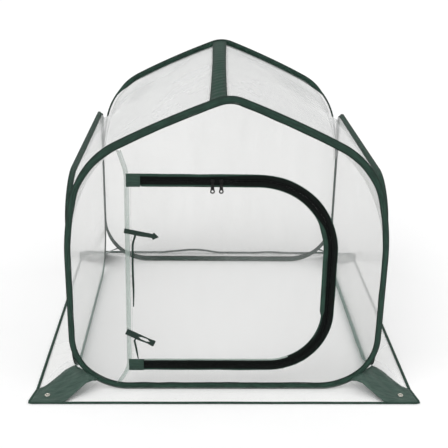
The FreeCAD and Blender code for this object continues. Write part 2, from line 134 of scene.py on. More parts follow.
def folds(u, v, lean, seed, long=2.2, short=12.0):
    """Noise drawn out along one direction, as soft folds in film are."""
    a = math.radians(lean)
    along, across = u * math.cos(a) + v * math.sin(a), -u * math.sin(a) + v * math.cos(a)
    bent = across + 0.05 * wave(along * 3, across * 3, seed + 9)
    return wave(along * long, bent * short, seed)


# ---- meshes -------------------------------------------------------------------------------------
def linked(name, data):
    """A new object in the scene."""
    made = bpy.data.objects.new(name, data)
    bpy.context.scene.collection.objects.link(made)
    return made


def piece(name, verts, faces, material, corners=None, closed=True):
    """A smooth object from its vertices and faces. corners holds a UV pair for each face corner,
    and the faces of a closed skin are turned outwards."""
    mesh = bpy.data.meshes.new(name)
    mesh.from_pydata([tuple(v) for v in verts], [], [tuple(f) for f in faces])
    if corners is not None:
        layer = mesh.uv_layers.new(name="cloth")
        layer.data.foreach_set("uv", np.array(corners, np.float32).ravel())
    if closed:
        bm = bmesh.new()
        bm.from_mesh(mesh)
        bmesh.ops.recalc_face_normals(bm, faces=bm.faces)
        bm.to_mesh(mesh)
        bm.free()
    mesh.polygons.foreach_set("use_smooth", [True] * len(mesh.polygons))
    mesh.materials.append(material)
    return linked(name, mesh)


def swept(name, rings, along, across, material, loop=False):
    """A skin over rings of points. along and across give the UVs, in metres."""
    count, size = rings.shape[:2]
    faces, corners = [], []
    for i in range(count if loop else count - 1):
        k = (i + 1) % count
        for j in range(size):
            m = (j + 1) % size
            faces.append((i * size + j, i * size + m, k * size + m, k * size + j))
            corners += [(along[i], across[j]), (along[i], across[m])]
            corners += [(along[i + 1], across[m]), (along[i + 1], across[j])]
    if not loop:
        for i in (0, count - 1):
            faces.append([i * size + j for j in range(size)])
            corners += [(along[i], across[j]) for j in range(size)]
    return piece(name, rings.reshape(-1, 3), faces, material, corners)


def lengths(points, loop=False):
    """The distance walked at each point, with the whole length added at the end of a loop."""
    points = np.asarray(points)
    if loop:
        points = np.vstack([points, points[:1]])
    steps = np.linalg.norm(np.diff(points, axis=0), axis=1)
    return np.concatenate([[0.0], np.cumsum(steps)])


def resampled(points, count):
    """The same line with evenly spaced points."""
    points = np.asarray(points, float)
    walked = lengths(points)
    at = np.linspace(0, walked[-1], count)
    return np.column_stack([np.interp(at, walked, points[:, k]) for k in range(points.shape[1])])


def solidify(made, thickness, offset=0.0):
    """Gives a skin its thickness."""
    skin = made.modifiers.new("thickness", "SOLIDIFY")
    skin.thickness = thickness
    skin.offset = offset
    return made


def finished(made, body, slot, *nodes):
    """Gives a piece its body and hides the CAD nodes that it stands for; slot is not used."""
    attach(made, body)
    dressed(made, slot, *nodes)
    return made


def dressed(made, slot, *nodes):
    """Hides the CAD nodes that a piece stands for; slot is not used."""
    if nodes:
        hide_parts(*nodes)
    return made


# ---- outlines -----------------------------------------------------------------------------------
def walk(start, heading, steps, spacing=6 * MM):
    """Points of a flat line that turns left, and the directions away from its middle."""
    u, v = start
    points, outward = [], []
    for step in steps:
        bend = step[0] == "bend"
        turn = step[2] if bend else 0.0
        length = step[1] * math.radians(turn) if bend else step[1]
        count = max(1, round(length / spacing))
        first = math.radians(heading - 90)
        for i in range(count):
            share = i / count
            angle = first + math.radians(turn) * share
            out = (math.cos(angle), math.sin(angle))
            if bend:
                centre = (u - step[1] * math.cos(first), v - step[1] * math.sin(first))
                points.append((centre[0] + step[1] * out[0], centre[1] + step[1] * out[1]))
            else:
                points.append((u - length * share * out[1], v + length * share * out[0]))
            outward.append(out)
        if bend:
            last = first + math.radians(turn)
            u += step[1] * (math.cos(last) - math.cos(first))
            v += step[1] * (math.sin(last) - math.sin(first))
            heading += turn
        else:
            u, v = u - length * math.sin(first), v + length * math.cos(first)
    return np.array(points), np.array(outward)


def rise(radius, first, last):
    """How far a bend goes inwards and up between two leans from the vertical."""
    a, b = math.radians(first), math.radians(last)
    return radius * (math.cos(a) - math.cos(b)), radius * (math.sin(b) - math.sin(a))


def house_line():
    """The front and back hoops (x, z), from the middle of the ground run, anticlockwise."""
    slope_lean = WALL_BEND[1] + EAVE_BEND[1]
    wall_in, wall_up = rise(WALL_BEND[0], 0.0, WALL_BEND[1])
    eave_in, eave_up = rise(EAVE_BEND[0], WALL_BEND[1], slope_lean)
    share_in, share_up = rise(1.0, slope_lean, slope_lean + SLOPE_TURN)
    peak_in, peak_up = rise(PEAK_BEND[0], 90.0 - PEAK_BEND[1], 90.0)
    slope_radius = (HALF_WIDTH - wall_in - eave_in - peak_in) / share_in
    straight = PEAK - GROUND - GROUND_BEND - wall_up - eave_up - slope_radius * share_up - peak_up
    half = [("run", HALF_WIDTH - GROUND_BEND), ("bend", GROUND_BEND, 90.0), ("run", straight)]
    half += [("bend", *WALL_BEND), ("bend", *EAVE_BEND), ("bend", slope_radius, SLOPE_TURN)]
    half += [("bend", *PEAK_BEND)]
    return walk((0.0, GROUND), 0.0, half + half[::-1])


def side_line():
    """A side hoop (y, z), from the middle of its ground run, anticlockwise."""
    room = SIDE_TOP - GROUND - GROUND_BEND
    half_ground = ("run", SIDE_DEPTH - GROUND_BEND)
    steps = [half_ground, ("bend", GROUND_BEND, 90.0), ("run", room - SIDE_BACK_BEND)]
    steps += [("bend", SIDE_BACK_BEND, 90.0), ("run", 2 * SIDE_DEPTH - SIDE_BACK_BEND - SIDE_FRONT_BEND)]
    steps += [("bend", SIDE_FRONT_BEND, 90.0), ("run", room - SIDE_FRONT_BEND)]
    steps += [("bend", GROUND_BEND, 90.0), half_ground]
    return walk((0.0, GROUND), 0.0, steps)


HOUSE, HOUSE_OUT = house_line()
SIDE, SIDE_OUT = side_line()
# the right-hand half of the house above its ground run, from the bottom up
HOUSE_RIGHT = HOUSE[(HOUSE[:, 0] > 50 * MM) & (HOUSE[:, 1] > GROUND)]
HOUSE_RIGHT = HOUSE_RIGHT[np.argsort(HOUSE_RIGHT[:, 1])]


def hinge_x(z):
    """The door's fold, at the right-hand edge of the seam."""
    return np.interp(z, [SEAM[2][1], SEAM[1][1]], [SEAM[2][0], SEAM[1][0]]) + SEAM_HALF


def zip_line(spacing=6 * MM):
    """The zip's middle (x, z): along the bottom from the seam, up, and back along the top."""
    low, high = hinge_x(DOOR_BOTTOM), hinge_x(DOOR_TOP)
    height = DOOR_TOP - DOOR_BOTTOM - DOOR_TOP_BEND - DOOR_BOTTOM_BEND
    steps = [("run", DOOR_RIGHT - DOOR_BOTTOM_BEND - low), ("bend", DOOR_BOTTOM_BEND, 90.0)]
    steps += [("run", height), ("bend", DOOR_TOP_BEND, 90.0)]
    steps += [("run", DOOR_RIGHT - DOOR_TOP_BEND - high)]
    points, out = walk((low, DOOR_BOTTOM), 0.0, steps, spacing)
    return np.vstack([points, [high, DOOR_TOP]]), np.vstack([out, out[-1:]])


# ---- materials ----------------------------------------------------------------------------------
def node(tree, kind, **values):
    """A shader node. A value goes to the input of that name, or to the node's own setting."""
    made = tree.nodes.new(kind)
    for key, value in values.items():
        name = key.replace("_", " ")
        if name in made.inputs:
            made.inputs[name].default_value = value
        else:
            setattr(made, key, value)
    return made


def math_node(tree, operation, a, b=0.0):
    """One sum on two values or sockets."""
    made = node(tree, "ShaderNodeMath", operation=operation)
    for socket, value in zip(made.inputs, (a, b)):
        if hasattr(value, "is_linked"):
            tree.links.new(value, socket)
        else:
            socket.default_value = value
    return made.outputs[0]


def new_material(name, **values):
    """A material, its node tree and its main shader, with that shader's values set."""
    material = bpy.data.materials.new(name)
    material.use_nodes = True
    shader = material.node_tree.nodes["Principled BSDF"]
    for key, value in values.items():
        shader.inputs[key.replace("_", " ")].default_value = value
    return material, material.node_tree, shader


def stretched(tree, source, scale):
    """A noise texture on coordinates stretched by scale, and its value."""
    place = node(tree, "ShaderNodeMapping", Scale=scale)
    tree.links.new(source, place.inputs["Vector"])
    texture = node(tree, "ShaderNodeTexNoise", Scale=1.0, Detail=3.0)
    tree.links.new(place.outputs[0], texture.inputs["Vector"])
    return texture.outputs["Fac"]


def mapped(tree, value, low, high, to_low, to_high):
    """A value moved from one range into another."""
    made = node(tree, "ShaderNodeMapRange")
    for name, number in zip(("From Min", "From Max", "To Min", "To Max"), (low, high, to_low, to_high)):
        made.inputs[name].default_value = number
    tree.links.new(value, made.inputs["Value"])
    return made.outputs[0]


def blended(tree, share, first, second):
    """A colour between two, as a socket. Each of them is a colour or a socket."""
    made = node(tree, "ShaderNodeMix", data_type="RGBA")
    for socket, value in ((made.inputs[0], share), (made.inputs[6], first), (made.inputs[7], second)):
        if hasattr(value, "is_linked"):
            tree.links.new(value, socket)
        else:
            socket.default_value = value
    return made.outputs[2]


def bumped(tree, shader, height, distance, strength=1.0):
    """Turns a height into the shader's bumps."""
    made = node(tree, "ShaderNodeBump", Strength=strength, Distance=distance)
    tree.links.new(height, made.inputs["Height"])
    tree.links.new(made.outputs[0], shader.inputs["Normal"])


def weave(tree, coordinates, pitch):
    """A plain weave's height, from two crossed waves."""
    scale = 2 * math.pi / 20 / pitch
    heights = []
    for direction in ("X", "Y"):
        bands = node(tree, "ShaderNodeTexWave", Scale=scale, bands_direction=direction)
        tree.links.new(coordinates, bands.inputs["Vector"])
        heights.append(bands.outputs["Fac"])
    return math_node(tree, "MAXIMUM", heights[0], heights[1])


def cloth_material(name, colour, light, pitch, roughness, edges=None, stitches=(), sheen=0.08, shine=0.3,
                   filmed=None):
    """Woven cloth on the "cloth" UVs. edges is the across distance where it turns darker with painted
    shade, as on the shaded sides of a round sleeve, stitches lists the across distances of its seams,
    and filmed is the height (two values) and the colour of the part that lies under the skirt's film,
    a pale colour that is painted haze from the film."""
    material, tree, shader = new_material(name, Roughness=roughness, Sheen_Weight=sheen)
    shader.inputs["Sheen Roughness"].default_value = 0.4
    shader.inputs["Specular IOR Level"].default_value = shine
    uv = node(tree, "ShaderNodeUVMap", uv_map="cloth").outputs[0]
    across = node(tree, "ShaderNodeSeparateXYZ")
    tree.links.new(uv, across.inputs[0])
    u, v = across.outputs[0], across.outputs[1]
    threads = weave(tree, uv, pitch)
    worn = stretched(tree, uv, (35.0, 260.0, 1.0))
    colours = blended(tree, mapped(tree, worn, 0.35, 0.65, 0.0, 1.0), colour, light)
    # dark is a painted shade colour: it darkens the hollows between the threads, and the cloth's edges
    # further down
    dark = tuple(c * 0.45 for c in colour[:3]) + (1.0,)
    colours = blended(tree, mapped(tree, threads, 0.0, 1.0, 0.35, 0.0), colours, dark)
    height = threads
    if edges is not None:
        # painted shade: the cloth darkens away from its middle line, standing in for the shade on the sides
        # of a round sleeve or band
        centre, reach = edges
        off = math_node(tree, "ABSOLUTE", math_node(tree, "SUBTRACT", v, centre))
        colours = blended(tree, mapped(tree, off, reach * 0.45, reach, 0.0, 0.75), colours, dark)
    for line in stitches:
        near = math_node(tree, "ABSOLUTE", math_node(tree, "SUBTRACT", v, line))
        on_line = math_node(tree, "LESS_THAN", near, STITCH_WIDTH / 2)
        step = math_node(tree, "FRACT", math_node(tree, "DIVIDE", u, STITCH_PITCH))
        thread = math_node(tree, "MULTIPLY", on_line, math_node(tree, "LESS_THAN", step, STITCH_SHARE))
        colours = blended(tree, math_node(tree, "MULTIPLY", thread, 0.6), colours, light)
        height = math_node(tree, "ADD", height, math_node(tree, "MULTIPLY", thread, 2.0))
    # painted haze: the part under the skirt's film is painted pale, standing in for the milky light that the
    # film scatters over it
    if filmed is not None:
        start, end, pale = filmed
        place = node(tree, "ShaderNodeSeparateXYZ")
        tree.links.new(node(tree, "ShaderNodeTexCoord").outputs["Object"], place.inputs[0])
        colours = blended(tree, mapped(tree, place.outputs[2], end, start, 0.0, 1.0), colours, pale)
    tree.links.new(colours, shader.inputs["Base Color"])
    rough = mapped(tree, worn, 0.3, 0.7, roughness - 0.1, roughness + 0.1)
    tree.links.new(rough, shader.inputs["Roughness"])
    bumped(tree, shader, height, 0.12 * MM, 0.6)
    return material


def film_material(name, clear, haze, seed, tint=(0.86, 0.87, 0.87, 1), rim=(0.12, 0.35)):
    """Clear flexible film: mostly see-through, with a milky glossy share that varies in soft
    streaks. clear is what one of its two faces lets through, and rim the blend and strength of
    the milkiness that it gains at a glancing angle."""
    material, tree, shader = new_material(name, Base_Color=tint, Roughness=0.16)
    shader.inputs["Specular IOR Level"].default_value = 0.6
    place = node(tree, "ShaderNodeTexCoord").outputs["Object"]
    shifted = node(tree, "ShaderNodeMapping", Location=(seed, seed * 0.7, 0.0))
    tree.links.new(place, shifted.inputs["Vector"])
    place = shifted.outputs[0]
    streaks = stretched(tree, place, (5.0, 5.0, 1.6))
    fine = stretched(tree, place, (22.0, 16.0, 5.0))
    broad_share = math_node(tree, "MULTIPLY", streaks, 0.8)
    fine_share = math_node(tree, "MULTIPLY", fine, 0.2)
    clouds = math_node(tree, "ADD", broad_share, fine_share)
    glass = node(tree, "ShaderNodeBsdfTransparent", Color=(clear, clear, clear * 0.998, 1))
    glancing = node(tree, "ShaderNodeLayerWeight", Blend=rim[0])
    share = math_node(tree, "ADD", mapped(tree, clouds, 0.35, 0.65, haze * 0.45, haze * 1.6),
                      math_node(tree, "MULTIPLY", glancing.outputs["Fresnel"], rim[1]))
    mix = node(tree, "ShaderNodeMixShader")
    tree.links.new(share, mix.inputs[0])
    tree.links.new(glass.outputs[0], mix.inputs[1])
    tree.links.new(shader.outputs[0], mix.inputs[2])
    bumped(tree, shader, streaks, 3.0 * MM, 0.10)
    tree.links.new(mix.outputs[0], tree.nodes["Material Output"].inputs["Surface"])
    return material


def metal_material(name, colour, roughness, metallic=1.0, grain=900.0, worn=None, shine=0.5):
    """Metal or enamel with fine brushed grain. worn is the colour of the places rubbed bare."""
    material, tree, shader = new_material(name, Metallic=metallic, Roughness=roughness)
    shader.inputs["Specular IOR Level"].default_value = shine
    place = node(tree, "ShaderNodeTexCoord").outputs["Object"]
    lines = stretched(tree, place, (grain, grain * 0.2, grain))
    patches = stretched(tree, place, (160.0, 160.0, 160.0))
    darker = tuple(c * 0.7 for c in colour[:3]) + (1.0,)
    colours = blended(tree, lines, darker, colour)
    if worn is not None:
        colours = blended(tree, mapped(tree, patches, 0.68, 0.80, 0.0, 0.7), colours, worn)
    tree.links.new(colours, shader.inputs["Base Color"])
    rough = mapped(tree, patches, 0.3, 0.7, roughness * 0.8, roughness * 1.35)
    tree.links.new(rough, shader.inputs["Roughness"])
    bumped(tree, shader, lines, 0.02 * MM, 0.4)
    return material


GREEN = (0.006, 0.028, 0.018, 1)
GREEN_LIGHT = (0.020, 0.062, 0.042, 1)
MAT_SLEEVE = cloth_material("sleeve_cloth", GREEN, GREEN_LIGHT, 0.55 * MM, 0.62,
                            edges=(-1.8 * MM, 6 * MM), stitches=(STITCH_LINE,))
# the side sleeves' lower ends are painted pale, as painted haze from the skirt's film over them
MAT_SLEEVE_SIDE = cloth_material("side_sleeve_cloth", GREEN, GREEN_LIGHT, 0.55 * MM, 0.62,
                                 edges=(-1.8 * MM, 6 * MM), stitches=(STITCH_LINE,),
                                 filmed=(22 * MM, 34 * MM, (0.17, 0.25, 0.22, 1)))
MAT_BINDING = cloth_material("binding_cloth", GREEN, GREEN_LIGHT, 0.5 * MM, 0.62, stitches=(0.0,))
MAT_TARP = cloth_material("coated_cloth", (0.026, 0.058, 0.044, 1), (0.062, 0.108, 0.086, 1),
                          0.7 * MM, 0.42)
MAT_RIDGE = cloth_material("ridge_cloth", (0.008, 0.034, 0.022, 1), (0.022, 0.064, 0.044, 1),
                           0.7 * MM, 0.7, edges=(0.0, RIDGE_HALF),
                           stitches=(-RIDGE_HALF * 0.8, RIDGE_HALF * 0.8), sheen=0.03)
MAT_TIE = cloth_material("tie_tape", (0.006, 0.020, 0.014, 1), (0.016, 0.040, 0.029, 1),
                         0.8 * MM, 0.6, stitches=(-5.5 * MM, 5.5 * MM))
MAT_ZIP_TAPE = cloth_material("zip_cloth", (0.002, 0.004, 0.003, 1), (0.006, 0.009, 0.008, 1),
                              0.6 * MM, 0.7, sheen=0.0, shine=0.12)
MAT_PATCH = cloth_material("end_patch_cloth", (0.014, 0.040, 0.028, 1), (0.032, 0.072, 0.054, 1),
                           0.6 * MM, 0.6, stitches=(-12.5 * MM, 12.5 * MM))
MAT_COIL = metal_material("zip_nylon", (0.003, 0.004, 0.004, 1), 0.62, metallic=0.0, shine=0.15)
MAT_ENAMEL = metal_material("slider_enamel", (0.006, 0.006, 0.006, 1), 0.45, metallic=0.0,
                            worn=(0.10, 0.09, 0.08, 1), shine=0.25)
MAT_RING = metal_material("pull_ring_metal", (0.030, 0.030, 0.028, 1), 0.4, metallic=0.3, shine=0.3)
MAT_GROMMET = metal_material("grommet_metal", (0.92, 0.89, 0.80, 1), 0.25)
MAT_WIRE = metal_material("spring_steel", (0.42, 0.42, 0.43, 1), 0.35)
MAT_FERRULE = metal_material("ferrule_aluminium", (0.72, 0.73, 0.74, 1), 0.4)
# the same film in copies: the back copy is darker and hazier as painted shade, and the skirt copy is clearer
# as painted light that offsets the shadows cast on it
MAT_FILM = film_material("clear_film", 0.975, 0.050, 0.0)
MAT_FILM_BACK = film_material("clear_film_back", 0.935, 0.08, 3.1)
MAT_FILM_SIDE = film_material("clear_film_side", 0.980, 0.05, 4.4, (1.0, 1.0, 1.0, 1), (0.33, 0.48))
MAT_FILM_ROOF = film_material("clear_film_roof", 0.955, 0.075, 5.7)
MAT_FILM_SKIRT = film_material("clear_film_skirt", 0.985, 0.035, 8.2)
MAT_SEAM = film_material("seam_film", 0.88, 0.42, 1.3, (0.52, 0.62, 0.57, 1))


# ---- hoops --------------------------------------------------------------------------------------
# Half of the sleeve's section, from its sewn edge over the wire to its folded edge: the distance
# from the wire and the half thickness.
SLEEVE_SECTION = (
    (SLEEVE_INNER, 0.25 * MM),
    (-8.9 * MM, 0.62 * MM),
    (-7.4 * MM, 0.66 * MM),
    (STITCH_LINE, 0.42 * MM),
    (-5.6 * MM, 0.70 * MM),
    (-3.4 * MM, 1.05 * MM),
    (-2.2 * MM, 1.95 * MM),
    (-1.1 * MM, 2.45 * MM),
    (0.0, 2.60 * MM),
    (1.1 * MM, 2.45 * MM),
    (2.2 * MM, 1.95 * MM),
    (3.4 * MM, 1.10 * MM),
    (4.6 * MM, 0.65 * MM),
    (5.0 * MM, 0.30 * MM),
)


def sleeve(name, body, spots, outward, across, lean, seed, broad=None, material=MAT_SLEEVE):
    """A cloth tape folded round the wire. lean turns its width out of the hoop's plane (degrees,
    one for each spot), broad widens it, and its free edge wanders a little, as a sewn edge does."""
    broad = np.ones(len(spots)) if broad is None else broad
    walked = lengths(spots, loop=True)
    top = np.array(SLEEVE_SECTION)
    section = np.vstack([top, top[::-1] * (1, -1)])
    turn = np.radians(lean)[:, None]
    wide = np.cos(turn) * outward + np.sin(turn) * across
    deep = -np.sin(turn) * outward + np.cos(turn) * across
    rings = np.empty((len(spots), len(section), 3))
    total = walked[-1]
    for i, spot in enumerate(spots):
        angle = 2 * math.pi * walked[i] / total
        ring = (math.cos(angle), math.sin(angle))
        edge = SLEEVE_WANDER * wave(ring[0] * 9, ring[1] * 9, seed)
        swing = SLEEVE_WANDER * wave(ring[0] * 14, ring[1] * 14, seed + 1)
        pucker = 1 + 0.10 * wave(ring[0] * 60, ring[1] * 60, seed + 2)
        for j, (n, h) in enumerate(section):
            free = min(max((-n - 2.4 * MM) / (5 * MM), 0.0), 1.0)
            aside, forward = n * broad[i] + edge * free, h * pucker + swing * free
            rings[i, j] = spot + wide[i] * aside + deep[i] * forward
    made = swept(name, rings, walked, section[:, 0], material, loop=True)
    return finished(made, body, "green_fabric", name)


def hoops():
    """The four sleeves. The wires and ferrules inside them are the CAD's own."""
    house = np.column_stack([HOUSE[:, 0], np.zeros(len(HOUSE)), HOUSE[:, 1]])
    house_out = np.column_stack([HOUSE_OUT[:, 0], np.zeros(len(HOUSE)), HOUSE_OUT[:, 1]])
    side = np.column_stack([np.zeros(len(SIDE)), SIDE])
    side_out = np.column_stack([np.zeros(len(SIDE)), SIDE_OUT])
    depth = np.array([0.0, 1.0, 0.0])
    width = np.array([1.0, 0.0, 0.0])
    # the front sleeve lies flat in its plane, and the back one turns edge-on below its eaves
    height = HOUSE[:, 1]
    front_lean = np.zeros(len(house))
    back_lean = 88 * smooth(height, 0.60, 0.53) * smooth(height, 0.02, 0.20)
    back_lean = back_lean + 16 * smooth(height, 0.20, 0.02)
    # both are broader over the roof's slopes and along the ground
    front_broad = 1 + 0.27 * smooth(height, 0.50, 0.60) + 0.22 * smooth(height, 0.06, 0.02)
    back_broad = 1 + 0.30 * smooth(height, 0.54, 0.62) + 0.35 * smooth(height, 0.03, 0.01)
    front, back = house + depth * Y_FRONT, house + depth * Y_BACK
    sleeve("front_hoop_sleeve", "front", front, house_out, depth, front_lean, 1, front_broad)
    sleeve("back_hoop_sleeve", "back_wall", back, house_out, depth, back_lean, 2, back_broad)
    # the side sleeves lean outwards along the top, and their parts on the ground lean too
    top = TOP_LEAN * smooth(SIDE[:, 1], 0.36, 0.46)
    low = smooth(SIDE[:, 1], 0.10, 0.02)
    front_foot = smooth(SIDE[:, 0], -0.28, -0.33) * smooth(SIDE[:, 1], 0.15, 0.09)
    for name, sx, lean, seed in (("left", -1, top + 30 * front_foot, 3), ("right", 1, top + 52 * low, 4)):
        sleeve(f"{name}_hoop_sleeve", f"{name}_wall", side + sx * width * HALF_WIDTH, side_out, sx * width,
               lean, seed, 1 + 0.30 * low, MAT_SLEEVE_SIDE)
    for hoop in ("front", "back", "left", "right"):
        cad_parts[f"{hoop}_hoop_wire"].data.materials[0] = MAT_WIRE
        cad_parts[f"{hoop}_hoop_ferrule"].data.materials[0] = MAT_FERRULE


# ---- film panels --------------------------------------------------------------------------------
def within(points, loops):
    """Which points lie inside the outline and outside its holes."""
    x, y = points[:, 0], points[:, 1]
    odd = np.zeros(len(points), bool)
    for loop in loops:
        for (x0, y0), (x1, y1) in zip(loop, np.roll(loop, -1, axis=0)):
            if y0 != y1:
                crosses = ((y0 > y) != (y1 > y)) & (x < (x1 - x0) * (y - y0) / (y1 - y0) + x0)
                odd ^= crosses
    return odd


def nearest(points, edge):
    """Each point's distance from the nearest point of an edge."""
    found = np.empty(len(points))
    for i in range(0, len(points), 500):
        gaps = points[i:i + 500, None, :] - edge[None, :, :]
        found[i:i + 500] = np.sqrt((gaps ** 2).sum(2)).min(1)
    return found


def panel_mesh(loops, spacing):
    """Triangles that fill an outline with holes: points (u, v), triangles, distance to the edge."""
    loops = [np.asarray(loop, float) for loop in loops]
    edge = np.vstack(loops)
    links, first = [], 0
    for loop in loops:
        count = len(loop)
        links += [(first + i, first + (i + 1) % count) for i in range(count)]
        first += count
    low, high = edge.min(0), edge.max(0)
    grid, row = [], 0
    v = low[1] + spacing
    while v < high[1]:
        shift = spacing / 2 * (row % 2)
        grid += [(u, v) for u in np.arange(low[0] + shift, high[0], spacing)]
        v += spacing * 0.866
        row += 1
    grid = np.array(grid)
    grid = grid[within(grid, loops)]
    grid = grid[nearest(grid, edge) > spacing * 0.55]
    spots = [Vector(p) for p in np.vstack([edge, grid])]
    made = delaunay_2d_cdt(spots, links, [], 0, 1e-7)
    points = np.array([p[:] for p in made[0]])
    triangles = np.array(made[2])
    triangles = triangles[within(points[triangles].mean(1), loops)]
    return points, triangles, nearest(points, edge)


def film_panel(name, loops, place, relief, material, spacing=13 * MM):
    """A film panel. place turns (u, v, depth) into a point, and relief gives the depth."""
    points, triangles, inset = panel_mesh(loops, spacing)
    depth = [relief(u, v, d) for (u, v), d in zip(points, inset)]
    verts = [place(u, v, h) for (u, v), h in zip(points, depth)]
    corners = points[triangles.ravel()]
    made = piece(name, verts, triangles, material, corners, closed=False)
    return solidify(made, FILM)


def soft_relief(amount, lean, seed, fade=45 * MM):
    """Soft folds that die away towards the panel's edge."""
    def relief(u, v, inset):
        shape = 0.65 * folds(u, v, lean, seed) + 0.35 * folds(u, v, lean - 55, seed + 4, 3.0, 16.0)
        return amount * shape * smooth(inset, 0.0, fade)
    return relief


def cut(loop, side, x_at):
    """The part of an outline on one side (1 right, -1 left) of the line x_at(z)."""
    kept, ends, count = [], [], len(loop)
    for i in range(count):
        a, b = loop[i], loop[(i + 1) % count]
        off_a, off_b = side * (a[0] - x_at(a[1])), side * (b[0] - x_at(b[1]))
        if off_a >= 0:
            kept.append(a)
        if off_a * off_b < 0:
            ends.append(len(kept))
            kept.append(a + (b - a) * off_a / (off_a - off_b))
    # the outline leaves at one crossing and comes back at the other, so the cut joins the two
    leaves = ends[0] if ends[1] == ends[0] + 1 else ends[1]
    comes = ends[1] if leaves == ends[0] else ends[0]
    heights = np.linspace(kept[leaves][1], kept[comes][1], 80)[1:-1]
    line = [np.array((x_at(z), z)) for z in heights]
    return np.array(kept[:leaves + 1] + line + kept[leaves + 1:])


def seam_at(z):
    """The seam's middle line at any height."""
    zs, xs = [p[1] for p in SEAM][::-1], [p[0] for p in SEAM][::-1]
    return np.interp(z, zs, xs)


def zip_loop(offset, side_gap):
    """The doorway's outline: the zip's line moved outwards by offset, closed along the seam."""
    points, out = zip_line()
    line = points + out * offset
    line[0][0] = hinge_x(line[0][1]) + side_gap
    line[-1][0] = hinge_x(line[-1][1]) + side_gap
    count = round((line[-1][1] - line[0][1]) / (8 * MM))
    heights = np.linspace(line[-1][1], line[0][1], count + 1)[1:-1]
    closing = np.column_stack([hinge_x(heights) + side_gap, heights])
    return np.vstack([line, closing])


def front_films():
    """The front's two films, on either side of the seam."""
    def place(u, v, h):
        return u, Y_FRONT + h, v
    inside = HOUSE - HOUSE_OUT * FILM_EDGE
    # both films reach a little under the seam's tape, and under the zip's
    tucked = SEAM_HALF - 1.5 * MM
    left = cut(inside, -1, lambda z: seam_at(z) - tucked)
    right = cut(inside, 1, lambda z: seam_at(z) + tucked)
    doorway = zip_loop(TAPE_HALF - 3 * MM, SEAM_HALF)
    for side, loops, lean, seed in (("left", [left], 80, 11), ("right", [right, doorway], 70, 12)):
        relief = soft_relief(1.8 * MM, lean, seed)
        made = film_panel(f"front_panel_{side}", loops, place, relief, MAT_FILM)
        finished(made, "front", "clear_film", f"front_panel_{side}")


def wall_films():
    """The back film and the two side films."""
    house = HOUSE - HOUSE_OUT * FILM_EDGE
    side = SIDE - SIDE_OUT * FILM_EDGE
    made = film_panel("back_panel", [house], lambda u, v, h: (u, Y_BACK + h, v),
                      soft_relief(2.6 * MM, 65, 21), MAT_FILM_BACK)
    finished(made, "back_wall", "clear_film", "back_panel")
    for name, sx in (("left", -1), ("right", 1)):
        def place(u, v, h, sx=sx):
            return sx * (HALF_WIDTH + h), u, v
        relief = soft_relief(1.8 * MM, 35 * sx, 30 + sx)
        made = film_panel(f"{name}_panel", [side], place, relief, MAT_FILM_SIDE)
        finished(made, f"{name}_wall", "clear_film", f"{name}_panel")


# ---- roof ---------------------------------------------------------------------------------------
def drift(y):
    """Where the ridge band's middle lies, to the side of the peaks. It drifts left towards the front."""
    share = (Y_BACK - y) / (Y_BACK - Y_FRONT)
    return -(BAND_DRIFT[0] + (BAND_DRIFT[1] - BAND_DRIFT[0]) * share)


def roof_line(reach, off):
    """A point (x, z) on the roof: reach is its distance from the middle, off its height over the wire."""
    line = HOUSE + HOUSE_OUT * off
    top = line[line[:, 1] > SIDE_TOP]
    top = top[np.argsort(top[:, 0])]
    return reach, float(np.interp(reach, top[:, 0], top[:, 1]))


def roof_boundary(sx, y):
    """Two edges of a roof film, drawn as if on the right: down a house hoop and along a side hoop."""
    low_z = SIDE_TOP - SIDE_FRONT_BEND
    line = HOUSE - HOUSE_OUT * ROOF_UNDER
    start = UNDER_BAND + sx * drift(y)
    keep = (line[:, 0] > start) & (line[:, 1] > low_z)
    slope = line[keep][::-1]
    slope = np.vstack([[roof_line(start, -ROOF_UNDER)], slope, [slope[-1][0], low_z]])
    top = SIDE[SIDE[:, 1] >= low_z][::-1]
    out = SIDE_OUT[SIDE[:, 1] >= low_z][::-1]
    # the sleeve turns outwards along the top, so its sewn edge is further in there
    turned = np.radians(TOP_LEAN * smooth(top[:, 1], 0.36, 0.46))
    top = top - out * (ROOF_UNDER * np.cos(turned))[:, None]
    return slope, np.column_stack([HALF_WIDTH - 1 * MM - 7.5 * MM * np.sin(turned), top])


def relaxed(grid, rounds=500):
    """Lets the inside of a grid of points settle between its fixed edges, like stretched film."""
    for _ in range(rounds):
        grid[1:-1, 1:-1] = (grid[:-2, 1:-1] + grid[2:, 1:-1] + grid[1:-1, :-2] + grid[1:-1, 2:]) / 4
    return grid


def roof_grid(sx, y_front, y_back, rows, columns):
    """A roof film's points, as if on the right, row by row down its slope, and the slope's length."""
    slope, top = roof_boundary(sx, y_front)
    front_down = resampled(slope, rows)
    back_down = resampled(roof_boundary(sx, y_back)[0], rows)
    start = [[front_down[-1][0], y_front, front_down[-1][1]]]
    end = [[back_down[-1][0], y_back, back_down[-1][1]]]
    low = resampled(np.vstack([start, top, end]), columns)
    grid = np.empty((rows, columns, 3))
    across = np.linspace(0, 1, columns)[:, None]
    pull = low - (low[0] + (low[-1] - low[0]) * across)
    for i in range(rows):
        front = np.array([front_down[i][0], y_front, front_down[i][1]])
        back = np.array([back_down[i][0], y_back, back_down[i][1]])
        grid[i] = front + (back - front) * across + pull * (i / (rows - 1)) ** 3
    # the edge under the band keeps to its drift, and the film settles from there
    for k in range(columns):
        y = grid[0, k, 1]
        reach, up = roof_line(UNDER_BAND + sx * drift(y), -ROOF_UNDER)
        grid[0, k] = (reach, y, up)
    return relaxed(grid), float(lengths(front_down)[-1])


